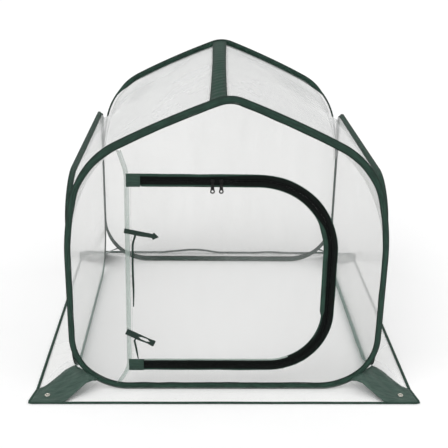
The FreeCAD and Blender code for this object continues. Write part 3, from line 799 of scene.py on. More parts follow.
def roof_films():
    """The two roof films, each from the ridge band down to its side hoop."""
    rows, columns = 44, 66
    y_front, y_back = Y_FRONT + SEWN, Y_BACK - SEWN
    down = np.linspace(0, 1, rows) * 0.45        # metres of cloth down the slope, for the folds
    for name, sx in (("left", -1), ("right", 1)):
        grid, slope_length = roof_grid(sx, y_front, y_back, rows, columns)
        for i in range(1, rows - 1):
            for k in range(1, columns - 1):
                fade = min(min(i, rows - 1 - i, k, columns - 1 - k) / 5, 1.0)
                grid[i, k, 2] += 2.0 * MM * fade * folds(grid[i, k, 1], down[i], 25 * sx, 40 + sx, 3.0, 11.0)
        grid[:, :, 0] *= sx
        faces, corners = [], []
        for i in range(rows - 1):
            for k in range(columns - 1):
                spots = [(i, k), (i, k + 1), (i + 1, k + 1), (i + 1, k)]
                faces.append([a * columns + b for a, b in spots])
                corners += [(grid[0, b, 1], down[a]) for a, b in spots]
        made = piece(f"{name}_roof_panel", grid.reshape(-1, 3), faces, MAT_FILM_ROOF, corners, closed=False)
        solidify(made, FILM)
        # the film hangs from the ridge between the two house hoops
        finished(made, "ridge", "clear_film", f"{name}_roof_panel")
        # its width is measured down the slope, and cloth as deep as the cabin runs from hoop to hoop
        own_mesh(made)


def ridge():
    """The cloth strip along the ridge, puckered across its width by the seams at its edges."""
    count = 190
    ys = np.linspace(Y_FRONT + SEWN, Y_BACK - SEWN, count)
    half = [(0.0, 0.3), (0.4, 0.75), (2.4, 0.85), (3.8, 0.5), (9.0, 0.55), (14.0, 0.55), (19.0, 0.55)]
    half = [(a * MM - RIDGE_HALF, b * MM) for a, b in half]
    over = half + [(-a, b) for a, b in half[-2::-1]]
    section = over + [(a, -b) for a, b in over[::-1]]
    rings = np.empty((count, len(section), 3))
    for i, y in enumerate(ys):
        share = (y - Y_FRONT) / (Y_BACK - Y_FRONT)
        narrow = 1 - 0.10 * math.sin(math.pi * min(share * 1.2, 1.0)) + 0.03 * wave(y * 9, 0.3, 51)
        for j, (a, b) in enumerate(section):
            inner = 1 - (abs(a) / (16 * MM)) ** 2 if abs(a) < 16 * MM else 0.0
            ripple = 2.4 * MM * math.sin(y / (5.2 * MM) + 40 * a + 2.4 * wave(y * 7, a * 30, 52)) * inner
            ripple *= smooth(share, 0.95, 0.35) * (0.75 + 0.4 * wave(y * 8, a * 30, 53))
            swell = 0.8 * MM * wave(y * 40, a * 30, 54) * inner
            x, z = roof_line(a * narrow + drift(y), 1.2 * MM + b + ripple + swell)
            rings[i, j] = (x, y, z)
    made = swept("ridge_band", rings, lengths(rings[:, 6]), [a for a, _ in section], MAT_RIDGE)
    finished(made, "ridge", "green_tarp", "ridge_band")
    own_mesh(made)


# ---- door and zip -------------------------------------------------------------------------------
def across_front(point, out, section):
    """A section of points (outwards from a line, y) set across that line in the front panel's plane."""
    return [(point[0] + out[0] * n, Y_FRONT + y, point[1] + out[1] * n) for n, y in section]


def strip(name, points, outward, inner, outer, y_back, y_front, material, wander=0.0, seed=0):
    """A flat strip along the front panel. inner and outer are its edges from the line, and may
    differ along it; y_back and y_front its faces from the panel's plane."""
    walked = lengths(points)
    inner, outer = np.broadcast_to(inner, len(points)), np.broadcast_to(outer, len(points))
    rings = np.empty((len(points), 8, 3))
    for i, (p, o) in enumerate(zip(points, outward)):
        off = wander * wave(walked[i] * 16, 0.7, seed)
        lift = 0.5 * wander * wave(walked[i] * 22, 3.7, seed + 1)
        a, b = inner[i] + off, outer[i] + off
        soft = min(0.35 * MM, (b - a) / 4)
        round_y = (y_front - y_back) * 0.3
        shape = [(a, y_back + round_y), (a, y_front - round_y), (a + soft, y_front), (b - soft, y_front)]
        shape += [(b, y_front - round_y), (b, y_back + round_y), (b - soft, y_back), (a + soft, y_back)]
        rings[i] = across_front(p, o, [(n, y - lift) for n, y in shape])
    middle = float(np.mean((inner + outer) / 2))
    a, b = float(np.mean(inner)) - middle, float(np.mean(outer)) - middle
    across = [a, a, a, b, b, b, b, a]
    return swept(name, rings, walked, across, material)


def coil(name, side):
    """One row of the zip's nylon coil: a thin bar that swells at every turn of the coil."""
    points, outward = zip_line(COIL_PITCH / 4)
    points, outward, _ = past_patches(points, outward, lengths(points))
    turns = [2 * math.pi * j / 8 for j in range(8)]
    rings = np.empty((len(points), 8, 3))
    for i, (p, o) in enumerate(zip(points, outward)):
        swell = 0.62 + 0.38 * math.sin(math.pi / 2 * (i % 4)) ** 2
        section = [(side * (2.0 * MM + 1.9 * MM * swell * math.cos(angle)),
                    -1.6 * MM - 1.15 * MM * swell * math.sin(angle)) for angle in turns]
        rings[i] = across_front(p, o, section)
    return swept(name, rings, lengths(points), [0.0] * 8, MAT_COIL)


def past_patches(points, outward, walked):
    """The part of the zip's line that the door carries, cut off just clear of the end patches."""
    start = PATCH_RIGHT + PATCH_CLEAR
    keep = points[:, 0] > start
    kept, out, at = points[keep], outward[keep], walked[:len(points)][keep]
    first, last = np.array([[start, kept[0][1]]]), np.array([[start, kept[-1][1]]])
    at = np.concatenate([at[:1] - (kept[0][0] - start), at, at[-1:] + (kept[-1][0] - start)])
    return np.vstack([first, kept, last]), np.vstack([out[:1], out, out[-1:]]), at


def backing(z):
    """The tape's stiff end behind an end patch: it shuts the gap where the door's half starts."""
    outline = rounded_box(PATCH_RIGHT - 6 * MM, PATCH_RIGHT + 5 * MM, z - TAPE_HALF, z + TAPE_HALF, 1 * MM)
    return plate("tape_end", outline, Y_FRONT + 1.6 * MM, Y_FRONT + 1.1 * MM, MAT_ZIP_TAPE, 0.1 * MM)


def door_and_zip():
    """The zip's two tapes and coils, the bindings at their edges and the door's film."""
    points, outward = zip_line()
    walked = lengths(points)
    total = walked[-1]
    # where the zip's run begins to climb and where its top run begins, as distances along it
    low_run = DOOR_RIGHT - DOOR_BOTTOM_BEND - points[0][0]
    climb_end = total - (DOOR_RIGHT - DOOR_TOP_BEND - points[-1][0])
    made = strip("tape_run", points, outward, -0.6 * MM, TAPE_HALF, TAPE_THICK, -TAPE_THICK, MAT_ZIP_TAPE)
    backings = [backing(z) for z in (DOOR_TOP, DOOR_BOTTOM)]
    finished(joined("zipper_outer_tape", [made, *backings]), "front", "zip_tape", "zipper_outer_tape")
    finished(coil("zipper_outer_coil", 1), "front", "zip_coil", "zipper_outer_coil")
    # the doorway's binding is broad near the top end patch and only an edge further round
    top = smooth(total - walked, 0.30, 0.16)
    low = smooth(walked, low_run + 0.02, low_run - 0.06)
    outer_width = (0.6 + 4.2 * top + 2.0 * low) * MM
    made = strip("doorway_binding", points, outward, TAPE_HALF - outer_width, TAPE_HALF + 1.2 * MM,
                 1.1 * MM, -1.1 * MM, MAT_BINDING, 1.3 * MM, 62)
    finished(made, "front", "green_fabric", "doorway_binding")

    inner, inner_out, at = past_patches(points, outward, walked)
    made = strip("zipper_inner_tape", inner, inner_out, -TAPE_HALF, -0.7 * MM, TAPE_THICK, -TAPE_THICK,
                 MAT_ZIP_TAPE)
    finished(made, "door", "zip_tape", "zipper_inner_tape")
    finished(coil("zipper_inner_coil", -1), "door", "zip_coil", "zipper_inner_coil")
    # the door's binding is narrow along the top and broad down the right-hand side, in two steps
    side = smooth(at, low_run + 0.205, low_run + 0.215) * smooth(at, climb_end - 0.16, climb_end - 0.21)
    step = smooth(at, low_run + 0.13, low_run + 0.14) * smooth(at, climb_end - 0.16, climb_end - 0.21)
    near_patch = smooth(total - at, 0.30, 0.16)
    inner_width = (1.6 + 5.6 * side + 2.4 * step + 4.0 * near_patch) * MM
    made = strip("binding_run", inner, inner_out, -TAPE_HALF - 1.0 * MM - 0.35 * inner_width * side,
                 -TAPE_HALF + 0.65 * inner_width, 1.0 * MM, -1.2 * MM, MAT_BINDING, 0.6 * MM, 63)
    # along the bottom, the door's film is turned over the binding's edge
    bottom = at < low_run + 0.06
    over = strip("film_hem", inner[bottom], inner_out[bottom], -TAPE_HALF - 2.8 * MM, -TAPE_HALF + 1.4 * MM,
                 -1.3 * MM, -1.9 * MM, MAT_SEAM, 0.5 * MM, 64)
    finished(joined("door_binding", [made, over]), "door", "green_fabric", "door_binding")

    loop = zip_loop(-TAPE_HALF + 2.5 * MM, 0.8 * MM)
    made = film_panel("door_panel", [loop], lambda u, v, h: (u, Y_FRONT + h, v),
                      soft_relief(2.2 * MM, 75, 71), MAT_FILM)
    finished(made, "door", "clear_film", "door_panel")


def seam():
    """The welded seam that the door folds on: a pale band with a cord of film along each edge."""
    heights = np.arange(GROUND + 4 * MM, 0.625, 6 * MM)
    xs = np.array([np.mean([seam_at(z + d) for d in (-0.012, 0.0, 0.012)]) for z in heights])
    # its ends are tucked behind the sleeve
    reach = np.interp(heights, HOUSE_RIGHT[:, 1], HOUSE_RIGHT[:, 0]) - 20 * MM
    inside = np.abs(xs) < reach
    spots = np.column_stack([xs, heights])[inside]
    section = [(-7.8, 0.0), (-7.4, 1.0), (-6.2, 1.0), (-5.6, 0.45), (-2.0, 0.5), (1.2, 0.45)]
    section += [(1.7, 0.9), (2.4, 0.9), (2.8, 0.0)]
    section = [(a * MM, b * MM) for a, b in section]
    section = section + [(a, -b) for a, b in section[-2:0:-1]]
    rings = np.array([across_front(spot, (1, 0), [(a, -b) for a, b in section]) for spot in spots])
    made = swept("front_seam_tape", rings, lengths(spots), [a for a, _ in section], MAT_SEAM)
    finished(made, "front", "clear_film", "front_seam_tape")


def plate(name, outline, y_back, y_front, material, bevel=0.4 * MM, place=None):
    """A solid with rounded edges from an outline (x, z). place moves a finished vertex."""
    bm = bmesh.new()
    face = bm.faces.new([bm.verts.new((x, y_front, z)) for x, z in outline])
    grown = bmesh.ops.extrude_face_region(bm, geom=[face])
    for v in grown["geom"]:
        if isinstance(v, bmesh.types.BMVert):
            v.co.y = y_back
    bmesh.ops.recalc_face_normals(bm, faces=bm.faces)
    bmesh.ops.bevel(bm, geom=list(bm.edges), offset=bevel, segments=2, profile=0.6, affect="EDGES")
    mesh = bpy.data.meshes.new(name)
    uv = bm.loops.layers.uv.new("cloth")
    xs, zs = [p[0] for p in outline], [p[1] for p in outline]
    centre = (sum(xs) / len(xs), sum(zs) / len(zs))
    for f in bm.faces:
        for loop in f.loops:
            loop[uv].uv = (loop.vert.co.x - centre[0], loop.vert.co.z - centre[1])
    if place is not None:
        for v in bm.verts:
            v.co = place(v.co)
    bm.to_mesh(mesh)
    bm.free()
    mesh.materials.append(material)
    mesh.polygons.foreach_set("use_smooth", [True] * len(mesh.polygons))
    return linked(name, mesh)


def rounded_box(x0, x1, z0, z1, radius, steps=4):
    """A box's outline with round corners, anticlockwise."""
    corners = [(x1, z0, -90), (x1, z1, 0), (x0, z1, 90), (x0, z0, 180)]
    made = []
    for x, z, first in corners:
        cx = x - radius if x == x1 else x + radius
        cz = z - radius if z == z1 else z + radius
        for i in range(steps + 1):
            a = math.radians(first + 90 * i / steps)
            made.append((cx + radius * math.cos(a), cz + radius * math.sin(a)))
    return made


def end_patches():
    """The cloth patches sewn over the two ends of the zip."""
    for name, z in (("top", DOOR_TOP), ("bottom", DOOR_BOTTOM)):
        half = TAPE_HALF + 1.4 * MM
        outline = rounded_box(hinge_x(z) - 7 * MM, PATCH_RIGHT, z - half, z + half, 1.2 * MM)
        made = plate(f"zipper_{name}_end_patch", outline, Y_FRONT - 0.7 * MM, Y_FRONT - 1.7 * MM, MAT_PATCH)
        finished(made, "front", "green_tarp", f"zipper_{name}_end_patch")


# ---- sliders and pulls --------------------------------------------------------------------------
def revolved(name, centre, profile, turns, material, upright=False):
    """A ring with this profile (radius, height), lying flat or standing in the front panel's plane."""
    rings = np.empty((turns, len(profile), 3))
    for i in range(turns):
        a = 2 * math.pi * i / turns
        for j, (r, h) in enumerate(profile):
            x, y = r * math.cos(a), r * math.sin(a)
            rings[i, j] = (x, h, y) if upright else (x, y, h)
    round_way = list(np.linspace(0, 1, turns + 1))
    return swept(name, rings + np.array(centre), round_way, [0.0] * len(profile), material, loop=True)


def joined(name, objects):
    """One object from several."""
    bm = bmesh.new()
    mesh = bpy.data.meshes.new(name)
    for o in objects:
        for material in o.data.materials:
            if material.name not in mesh.materials:
                mesh.materials.append(material)
    for o in objects:
        index = mesh.materials.find(o.data.materials[0].name)
        start = len(bm.faces)
        bm.from_mesh(o.data)
        bm.faces.ensure_lookup_table()
        for f in bm.faces[start:]:
            f.material_index = index
    bm.to_mesh(mesh)
    bm.free()
    for o in objects:
        bpy.data.objects.remove(o)
    return linked(name, mesh)


def slider(side):
    """A zip slider: shield-shaped plates joined by a wedge, and a crown over the pull's bar."""
    name = f"zipper_slider_{side}"
    low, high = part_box(name)
    x = (low.x + high.x) / 2
    z, y = DOOR_TOP, Y_FRONT
    nose = 1 if side == "right" else -1
    shield = [(-4.4, -2.6), (-3.6, -3.4), (1.2, -4.4), (3.6, -3.9), (4.4, -1.6)]
    shield += [(a, -b) for a, b in shield[::-1]]
    outline = [(x + nose * a * MM, z + b * MM) for a, b in shield]
    blade = [(-1.4, -0.35), (2.8, -0.5), (2.8, 0.5), (-1.4, 0.35)]
    wedge = [(x + nose * a * MM, z + b * MM) for a, b in blade]
    parts = [
        plate("front_plate", outline, y - 3.1 * MM, y - 4.2 * MM, MAT_ENAMEL, 0.3 * MM),
        plate("back_plate", outline, y + 1.9 * MM, y + 0.9 * MM, MAT_ENAMEL, 0.3 * MM),
        plate("wedge", wedge, y + 1.0 * MM, y - 3.3 * MM, MAT_ENAMEL, 0.1 * MM),
    ]
    # the crown: a flat bar that arches over the pull's bar
    count = 13
    rings = np.empty((count, 8, 3))
    for i in range(count):
        a = math.pi * i / (count - 1)
        spot = (z + 2.9 * MM * math.cos(a), y - 3.9 * MM - 3.3 * MM * math.sin(a))
        out = (math.cos(a), -math.sin(a))
        for j in range(8):
            b = 2 * math.pi * j / 8 + math.pi / 8
            rings[i, j] = (x + 1.25 * MM * math.cos(b), spot[1] + out[1] * 0.55 * MM * math.sin(b),
                           spot[0] + out[0] * 0.55 * MM * math.sin(b))
    parts.append(swept("crown", rings, [0.0] * count, [0.0] * 8, MAT_ENAMEL))
    finished(joined(name, parts), "slider_" + side, "zip_metal", name)


def pull(side):
    """The pull on a slider: a cross bar, a waisted tab with a slot, and a bare ring."""
    name = f"zipper_pull_{side}"
    low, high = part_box(name)
    x, z = (low.x + high.x) / 2, DOOR_TOP
    y = (low.y + high.y) / 2
    parts = []
    for sx in (-1, 1):
        arm = [(1.7, 0.8), (2.7, 0.8), (2.9, -4.0), (2.2, -6.5), (1.4, -6.5), (1.7, -4.0)]
        arm = [(x + sx * a * MM, z + b * MM) for a, b in arm]
        parts.append(plate("arm", arm[::sx], y + 0.55 * MM, y - 0.55 * MM, MAT_ENAMEL, 0.2 * MM))
    bar = rounded_box(x - 2.4 * MM, x + 2.4 * MM, z - 0.55 * MM, z + 0.55 * MM, 0.4 * MM)
    parts.append(plate("bar", bar, y + 0.5 * MM, y - 0.5 * MM, MAT_ENAMEL, 0.2 * MM))
    tab = [(-3.0, -5.0), (-3.6, -9.0), (-3.4, -13.0), (-4.3, -17.4), (-2.8, -19.4)]
    tab += [(-a, b) for a, b in tab[::-1]]
    tab = [(x + a * MM, z + b * MM) for a, b in tab]
    parts.append(plate("tab", tab, y + 0.55 * MM, y - 0.55 * MM, MAT_ENAMEL, 0.25 * MM))
    radius, thick = 3.9 * MM, 1.5 * MM
    turns = [2 * math.pi * j / 12 for j in range(12)]
    profile = [(radius + thick * math.cos(b), thick * math.sin(b)) for b in turns]
    parts.append(revolved("ring", (x, y, z - 22.4 * MM), profile, 36, MAT_RING, upright=True))
    finished(joined(name, parts), "pull_" + side, "zip_metal", name)


# ---- roll-up ties -------------------------------------------------------------------------------
def ties():
    """Two straps sewn to the seam, each with a ribbon hanging beside the door's fold."""
    plans = (("upper", -10.0, 64 * MM, 6.0 * MM, False), ("lower", -25.0, 58 * MM, 8.0 * MM, True))
    for name, lean, length, half, looped in plans:
        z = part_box(f"{name}_tie_anchor")[0].z + 4 * MM
        strap(name, math.radians(lean), z, length, half, looped)
        anchor(name, math.radians(lean), z, half)
        ribbon(name)


def leaning(angle, x, z):
    """Where a point of a leaning strip lies, as (x, z), when its own x runs along the strip."""
    def at(co):
        return (x + co.x * math.cos(angle) - co.z * math.sin(angle),
                z + co.x * math.sin(angle) + co.z * math.cos(angle))
    return at


def strap_outline(length, half, looped):
    """A strap with slightly wavy edges: a square end if it is a loop, or else an arrow head."""
    steps = [i * length / 12 for i in range(10)]
    if looped:
        cut_off = 2 * MM
        end = [(length - cut_off, -half), (length, -half + cut_off)]
    else:
        end = [(length - half * 2.5, -half * 0.75), (length - half * 2.0, -half * 1.45)]
    tip = [] if looped else [(length, 0)]
    mirrored = [(s, -w) for s, w in end[::-1]]
    outline = [(s, -half * (0.86 + 0.08 * math.sin(s * 90))) for s in steps] + end + tip + mirrored
    return outline + [(s, half * (0.9 + 0.07 * math.sin(s * 70 + 1))) for s in steps[::-1]]


def strap(name, angle, z, length, half, looped):
    """The strap itself. It starts on the door's fold and sags a little towards its tip."""
    low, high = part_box(f"{name}_tie_strap")
    start_x, y_mid = hinge_x(z) + 0.5 * MM, (low.y + high.y) / 2
    at = leaning(angle, start_x, z)

    def place(co):
        sag = -1.6 * MM * math.sin(math.pi * min(max(co.x / length, 0), 1))
        sag -= 2.5 * MM * smooth(co.x, length * 0.6, length)
        x, z_at = at(co)
        return Vector((x, y_mid + 1.2 * MM + co.y + sag, z_at))

    outline = strap_outline(length, half, looped)
    if looped:
        hole = [(0.30, 0.0), (0.42, -0.34), (0.66, -0.40), (0.80, 0.0), (0.66, 0.48), (0.42, 0.40)]
        hole = [(s * length, w * half) for s, w in hole]
        made = ring_plate(f"{name}_tie_strap", outline, hole, 0.75 * MM, MAT_TIE, place)
    else:
        made = plate(f"{name}_tie_strap", outline, 0.75 * MM, -0.75 * MM, MAT_TIE, 0.3 * MM, place)
    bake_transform(made)
    dressed(made, "tie_webbing", f"{name}_tie_strap")


def anchor(name, angle, z, half):
    """The strap's own end, folded under and sewn to the seam."""
    at = leaning(angle, hinge_x(z), z)

    def settle(co):
        x, z_at = at(co)
        return Vector((x, co.y, z_at))

    outline = rounded_box(-13 * MM, 3.4 * MM, -half * 0.9, half * 0.9, 0.8 * MM)
    made = plate(f"{name}_tie_anchor", outline, Y_FRONT - 1.0 * MM, Y_FRONT - 2.6 * MM, MAT_TIE, 0.3 * MM,
                 settle)
    finished(made, "front", "tie_webbing", f"{name}_tie_anchor")


def ring_plate(name, outline, hole, half_thick, material, place):
    """A flat loop: an outline with one hole, both given anticlockwise."""
    points, triangles, _ = panel_mesh([finer(outline), finer(hole)], 2.2 * MM)
    verts = [place(Vector((u, 0, v))) for u, v in points]
    made = piece(name, verts, triangles, material, points[triangles.ravel()], closed=False)
    solidify(made, 2 * half_thick)
    edge = made.modifiers.new("soft_edge", "BEVEL")
    edge.width = 0.3 * MM
    edge.segments = 2
    return made


def finer(outline, step=2 * MM):
    """The same closed outline with points at every step."""
    made = []
    for a, b in zip(outline, outline[1:] + outline[:1]):
        a, b = np.array(a), np.array(b)
        parts = max(1, round(float(np.linalg.norm(b - a)) / step))
        made += [a + (b - a) * i / parts for i in range(parts)]
    return np.array(made)


def ribbon(name):
    """A narrow tape that hangs from its strap, with a few soft kinks."""
    low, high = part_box(f"{name}_tie_ribbon")
    extra = 45 * MM if name == "upper" else 0.0
    count = 30
    heights = np.linspace(high.z - 2 * MM, low.z - extra, count)
    wide = 2.4 * MM
    rings = np.empty((count, 6, 3))
    for i, z in enumerate(heights):
        share = i / (count - 1)
        x = hinge_x(z) + 6.0 * MM + 2.2 * MM * wave(z * 17, 1.0, 81 if name == "upper" else 84)
        x += 6 * MM * (1 - smooth(share, 0.0, 0.16))
        if name == "lower":
            x += 9 * MM * share
        y = (low.y + high.y) / 2 + 0.7 * MM * wave(z * 21, 4.0, 82)
        turn = math.radians(38 * wave(z * 19, 2.0, 83))
        half = wide * (1.0 if share < 0.7 else 1 - 0.5 * (share - 0.7) / 0.3)
        dx, dy = half * math.cos(turn), 0.5 * half * math.sin(turn)
        thick = 0.28 * MM
        near_x, far_x = x - dx * 0.8, x + dx * 0.8
        rings[i] = [(x - dx, y + dy, z), (near_x, y + dy - thick, z), (far_x, y - dy - thick, z),
                    (x + dx, y - dy, z), (far_x, y - dy + thick, z), (near_x, y + dy + thick, z)]
    across = [-wide, -wide, wide, wide, wide, -wide]
    made = swept(f"{name}_tie_ribbon", rings, lengths(rings[:, 0]), across, MAT_TIE)
    finished(made, f"{name}_tie", "tie_webbing", f"{name}_tie_ribbon")


# ---- ground skirt -------------------------------------------------------------------------------
def hem_lift(x, y):
    """How far the hem stands off the ground. The back one is the most rumpled."""
    high = BACK_RUMPLE if y > 0.42 else RUMPLE
    return max(0.0, high * wave(x * 7, y * 7, 95)) * smooth(max(abs(x) / 0.40, abs(y) / 0.43), 1.2, 0.9)


def skirt_film(name, inner, outer, seed):
    """Film that slopes from the hoop to the ground and lies out to its hem. inner and outer are
    matching rows of points."""
    rows = 14
    count = len(inner)
    verts, uv = [], []
    for i in range(rows):
        t = i / (rows - 1)
        for k in range(count):
            p = inner[k] + (outer[k] - inner[k]) * t
            z = outer[k][2] + (inner[k][2] - outer[k][2]) * (1 - t) ** 2.2
            fade = math.sin(math.pi * t) * smooth(k, 0, 4) * smooth(count - 1 - k, 0, 4)
            lean = 70 + 40 * wave(p[0] * 3, p[1] * 3, 5)
            ripple = 1.8 * MM * max(0.0, folds(p[0], p[1], lean, seed, 5.0, 22.0))
            lift = hem_lift(*outer[k][:2]) * t ** 3
            verts.append((p[0], p[1], max(z, FILM_LIFT) + ripple * fade + lift))
            uv.append((p[0], p[1]))
    faces = [(i * count + k, i * count + k + 1, (i + 1) * count + k + 1, (i + 1) * count + k)
             for i in range(rows - 1) for k in range(count - 1)]
    corners = [uv[v] for f in faces for v in f]
    made = piece(name, verts, faces, MAT_FILM_SKIRT, corners, closed=False)
    return solidify(made, FILM)


def hem(name, line, thick=1.0):
    """A folded binding along the skirt's edge. line is its middle (x, y), open."""
    line = resampled(line, max(2, round(lengths(line)[-1] / (7 * MM))))
    along = np.gradient(line, axis=0)
    along /= np.linalg.norm(along, axis=1)[:, None]
    out = np.column_stack([along[:, 1], -along[:, 0]])
    walked = lengths(line)
    shape = [(-3.4, 0.2), (-3.2, 0.85), (0.0, 1.0), (2.2, 1.1), (3.2, 0.95), (3.4, 0.3)]
    section = [(a * MM, b * MM) for a, b in shape]
    section = section + [(a, -b) for a, b in section[::-1]]
    rings = np.empty((len(line), len(section), 3))
    for i, (p, o) in enumerate(zip(line, out)):
        ends = min(i, len(line) - 1 - i) / 6
        lift = hem_lift(*p) * min(ends, 1.0)
        for j, (a, b) in enumerate(section):
            rings[i, j] = (p[0] + o[0] * a, p[1] + o[1] * a, HEM_MIDDLE * thick + b * thick + lift)
    return swept(name, rings, walked, [a for a, _ in section], MAT_BINDING)


def low_part(line):
    """The right-hand half of a hoop's ground run and lower corner, from the middle outwards."""
    part = line[(line[:, 1] < GROUND + GROUND_BEND) & (line[:, 0] >= 0)]
    return part[np.argsort(part[:, 0])]


def skirt_side(name, body, inner, outer, seed, line, thick=1.0):
    """The skirt along one side: film from the hoop out to the hem, and the hem."""
    made = skirt_film(f"{name}_skirt", inner, outer, seed)
    finished(made, body, "clear_film", f"{name}_skirt")
    finished(hem(f"{name}_skirt_hem", line, thick), body, "green_fabric", f"{name}_skirt_hem")


def skirt():
    """The film, hems, corner patches and eyelets that lie round the greenhouse."""
    front_low, front_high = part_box("front_skirt_hem")
    side_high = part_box("right_skirt_hem")[1]
    patch_low, patch_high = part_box("front_right_corner_patch")
    # the skirt film ends where the corner patches start, and the hems reach further
    film_x, film_y = patch_low.x, -patch_high.y
    edge_y, hem_x = -front_low.y, front_high.x
    edge_x, hem_y = side_high.x, side_high.y
    tip_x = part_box("front_right_corner_hem")[1].x
    beyond = 2 * MM
    sewn_out, sewn_down = 1.5 * MM, 1.0 * MM        # the film's inner edge, from the wire

    house, side = low_part(HOUSE), low_part(SIDE)
    for name, sy, body in (("front", -1, "front"), ("back", 1, "back_wall")):
        xs = np.linspace(-film_x, film_x, 84)
        z_in = np.interp(abs(xs), house[:, 0], house[:, 1]) - sewn_down
        y_in = np.full(len(xs), (Y_FRONT if sy < 0 else Y_BACK) + sy * sewn_out)
        y_out = sy * (edge_y - HEM_HALF)
        inner = np.column_stack([xs, y_in, z_in])
        outer = np.column_stack([xs / film_x * (hem_x + beyond), np.full(len(xs), y_out),
                                 np.full(len(xs), FILM_LIFT)])
        line = np.array([(-hem_x, y_out), (hem_x, y_out)])
        # the back hem is rolled, so it stands higher than the others
        skirt_side(name, body, inner, outer, 90 + sy, line[::sy], 2.4 if sy > 0 else 1.0)

    for name, sx in (("left", -1), ("right", 1)):
        ys = np.linspace(-film_y, film_y, 88)
        z_in = np.interp(abs(ys), side[:, 0], side[:, 1]) - sewn_down
        x_in = np.full(len(ys), sx * (HALF_WIDTH + sewn_out))
        x_out = sx * (edge_x - HEM_HALF)
        inner = np.column_stack([x_in, ys, z_in])
        outer = np.column_stack([np.full(len(ys), x_out), ys / film_y * (hem_y + beyond),
                                 np.full(len(ys), FILM_LIFT)])
        line = np.array([(x_out, -hem_y), (x_out, hem_y)])
        skirt_side(name, f"{name}_wall", inner, outer, 100 + sx, line[::sx])

    for end, sy in (("front", -1), ("back", 1)):
        for side_name, sx in (("left", -1), ("right", 1)):
            corner(end, side_name, sx, sy, (film_x, film_y, edge_y, hem_x, edge_x, hem_y, tip_x))


def corner(end, side, sx, sy, plan):
    """One corner: creased cloth that climbs from the ground to the two hoops, with a hole for its eyelet,
    and its hem.
    """
    film_x, film_y, edge_y, hem_x, edge_x, hem_y, tip_x = plan
    name = f"{end}_{side}_corner"
    wire = abs(Y_FRONT)
    front_in = (film_x - 2 * MM, wire + 2.0 * MM)
    side_in = (HALF_WIDTH + 2.0 * MM, film_y - 2 * MM)
    front_neck = (HALF_WIDTH - 36 * MM, wire + 1.0 * MM)
    side_neck = (HALF_WIDTH + 1.0 * MM, SIDE_DEPTH - 33 * MM)
    front_out = (hem_x - 1 * MM, edge_y - 2 * HEM_HALF + 1 * MM)
    side_out = (edge_x - 2 * HEM_HALF + 1 * MM, hem_y - 1 * MM)
    tip = (tip_x - 2 * HEM_HALF, edge_y - 2 * HEM_HALF + 1 * MM)
    outline = finer([front_in, front_out, tip, side_out, side_in, side_neck, front_neck], 5 * MM)
    sewn = [(*p, hoop_height(abs(p[0]), HALF_WIDTH)) for p in (front_in, front_neck)]
    sewn += [(*p, 0.75 * hoop_height(abs(p[1]), SIDE_DEPTH)) for p in (side_neck, side_in)]
    sewn = resampled(sewn, 40)
    hole_x, hole_y = stake_hole(end)
    turns = np.linspace(0, 2 * math.pi, 20)[:-1]
    hole = np.column_stack([hole_x + PATCH_HOLE_R * np.cos(turns), hole_y + PATCH_HOLE_R * np.sin(turns)])
    points, triangles, inset = panel_mesh([outline, hole], 5 * MM)
    seed = 120 + 3 * sx + 11 * sy
    verts = []
    for (u, v), d in zip(points, inset):
        off = np.hypot(sewn[:, 0] - u, sewn[:, 1] - v)
        closest = int(np.argmin(off))
        climb = float(sewn[closest, 2]) * max(1 - float(off[closest]) / (78 * MM), 0.0) ** 1.2
        from_tip = math.hypot(u - tip[0], v - tip[1])
        angle = math.atan2(v - tip[1], u - tip[0])
        crease = wave(angle * 5.0, from_tip * 5, seed) * 3.4 * MM
        crease = max(crease + folds(u, v, 45, seed, 8.0, 45.0) * 2.2 * MM, -1.2 * MM)
        # the creases die away at the edges, round the eyelet and at the tip
        crease *= smooth(d, 0.0, 14 * MM) * smooth(from_tip, 0.0, 60 * MM)
        crease *= smooth(math.hypot(u - hole_x, v - hole_y), 8 * MM, 22 * MM)
        verts.append((sx * u, sy * v, PATCH_LIFT + climb + crease))
    made = piece(f"{name}_patch", verts, triangles, MAT_TARP, points[triangles.ravel()], closed=False)
    solidify(made, 0.7 * MM)
    place_corner(made, end, side)
    dressed(made, "green_tarp", f"{name}_patch")
    out_x, out_y = tip_x - HEM_HALF, edge_y - HEM_HALF
    line = [(hem_x, out_y), (out_x - 2 * MM, out_y), (out_x, out_y - 3 * MM), (edge_x - HEM_HALF, hem_y)]
    line = np.array(line) * (sx, sy)
    made = hem(f"{name}_hem", line[::sx * sy])
    place_corner(made, end, side)
    dressed(made, "green_fabric", f"{name}_hem")


def hoop_height(reach, half):
    """The height of a hoop's lower corner at this distance from the hoop's middle."""
    into = max(reach - (half - GROUND_BEND), 0.0)
    return GROUND + GROUND_BEND - math.sqrt(max(GROUND_BEND ** 2 - into ** 2, 0.0)) - 3.0 * MM


def place_corner(made, end, side):
    """One corner follows the back wall alone; the others stay where they are made."""
    if (end, side) == ("back", "right"):
        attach(made, "back_wall")
        return
    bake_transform(made)


def stake_hole(end):
    """A stake hole's place, as distances from the middle, from the eyelets' CAD solids."""
    low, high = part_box(f"{end}_grommets")
    return high.x - (high.y - low.y) / 2, abs(low.y + high.y) / 2


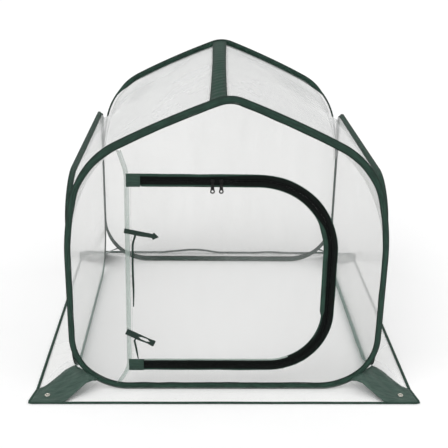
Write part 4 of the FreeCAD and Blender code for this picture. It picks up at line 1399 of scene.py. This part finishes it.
def grommets():
    """Rolled metal eyelets round the stake holes, one pair at the front and one at the back."""
    profile = [(3.2, -0.9), (3.3, 0.9), (3.9, 1.6), (4.9, 1.75), (6.0, 1.45), (6.6, 0.8), (6.5, 0.45)]
    profile += [(4.4, 0.5), (4.3, -0.5), (6.4, -0.6), (6.4, -0.95), (4.0, -1.1)]
    profile = [(r * MM, h * MM) for r, h in profile]
    for end, body, sy in (("front", "front", -1), ("back", "back_wall", 1)):
        x, y = stake_hole(end)
        spots = [(sx * x, sy * y, EYELET_LIFT) for sx in (-1, 1)]
        parts = [revolved("eyelet", spot, profile, 40, MAT_GROMMET) for spot in spots]
        finished(joined(f"{end}_grommets", parts), body, "grommet_metal", f"{end}_grommets")


# ---- stage --------------------------------------------------------------------------------------
FLOOR_HALF = 12.0


def stage():
    """A pale floor, an even white sky and two soft suns."""
    material, tree, shader = new_material("studio_floor", Roughness=0.9)
    place = node(tree, "ShaderNodeTexCoord").outputs["Object"]
    speckle = stretched(tree, place, (3.0, 3.0, 3.0))
    colours = blended(tree, speckle, (0.93, 0.93, 0.93, 1), (0.96, 0.96, 0.96, 1))
    tree.links.new(colours, shader.inputs["Base Color"])
    verts = [(x * FLOOR_HALF, y * FLOOR_HALF, -1 * MM) for x, y in ((-1, -1), (1, -1), (1, 1), (-1, 1))]
    floor = piece("floor", verts, [(0, 1, 2, 3)], material, closed=False)
    world = bpy.data.worlds.new("studio")
    bpy.context.scene.world = world
    world.use_nodes = True
    world.node_tree.nodes["Background"].inputs["Color"].default_value = (1.0, 1.0, 1.0, 1)
    world.node_tree.nodes["Background"].inputs["Strength"].default_value = 0.60
    for name, spot, power in (("key", (-1.2, -1.6, 3.0), 1.35), ("fill", (1.6, -0.5, 2.6), 0.55)):
        lamp = bpy.data.lights.new(name, "SUN")
        lamp.energy = power
        lamp.angle = math.radians(50)
        made = linked(name, lamp)
        made.location = spot
        made.rotation_euler = (-Vector(spot)).to_track_quat("-Z", "Y").to_euler()
    scene = bpy.context.scene
    scene.view_settings.view_transform = "Standard"
    scene.cycles.transparent_max_bounces = 40


def camera():
    """Looks down on the door from a little above the ridge, almost straight on."""
    pitch, yaw, roll = 0.3673, 0.0320, 0.0181
    ahead = Vector((math.sin(yaw) * math.cos(pitch), math.cos(yaw) * math.cos(pitch), -math.sin(pitch)))
    right = Vector((math.cos(yaw), -math.sin(yaw), 0))
    up = right.cross(ahead)
    right, up = right * math.cos(roll) + up * math.sin(roll), up * math.cos(roll) - right * math.sin(roll)
    data = bpy.data.cameras.new("camera")
    data.lens = 67.5
    data.sensor_width = 36.0
    position = (-0.0639, Y_FRONT - 1.7254, 1.0843)
    made = linked("camera", data)
    turn = Matrix((right, up, -ahead)).transposed()
    made.matrix_world = Matrix.Translation(position) @ turn.to_4x4()
    bpy.context.scene.camera = made


hoops()
front_films()
wall_films()
roof_films()
ridge()
door_and_zip()
seam()
end_patches()
for which in ("left", "right"):
    slider(which)
    pull(which)
ties()
skirt()
grommets()
stage()
camera()
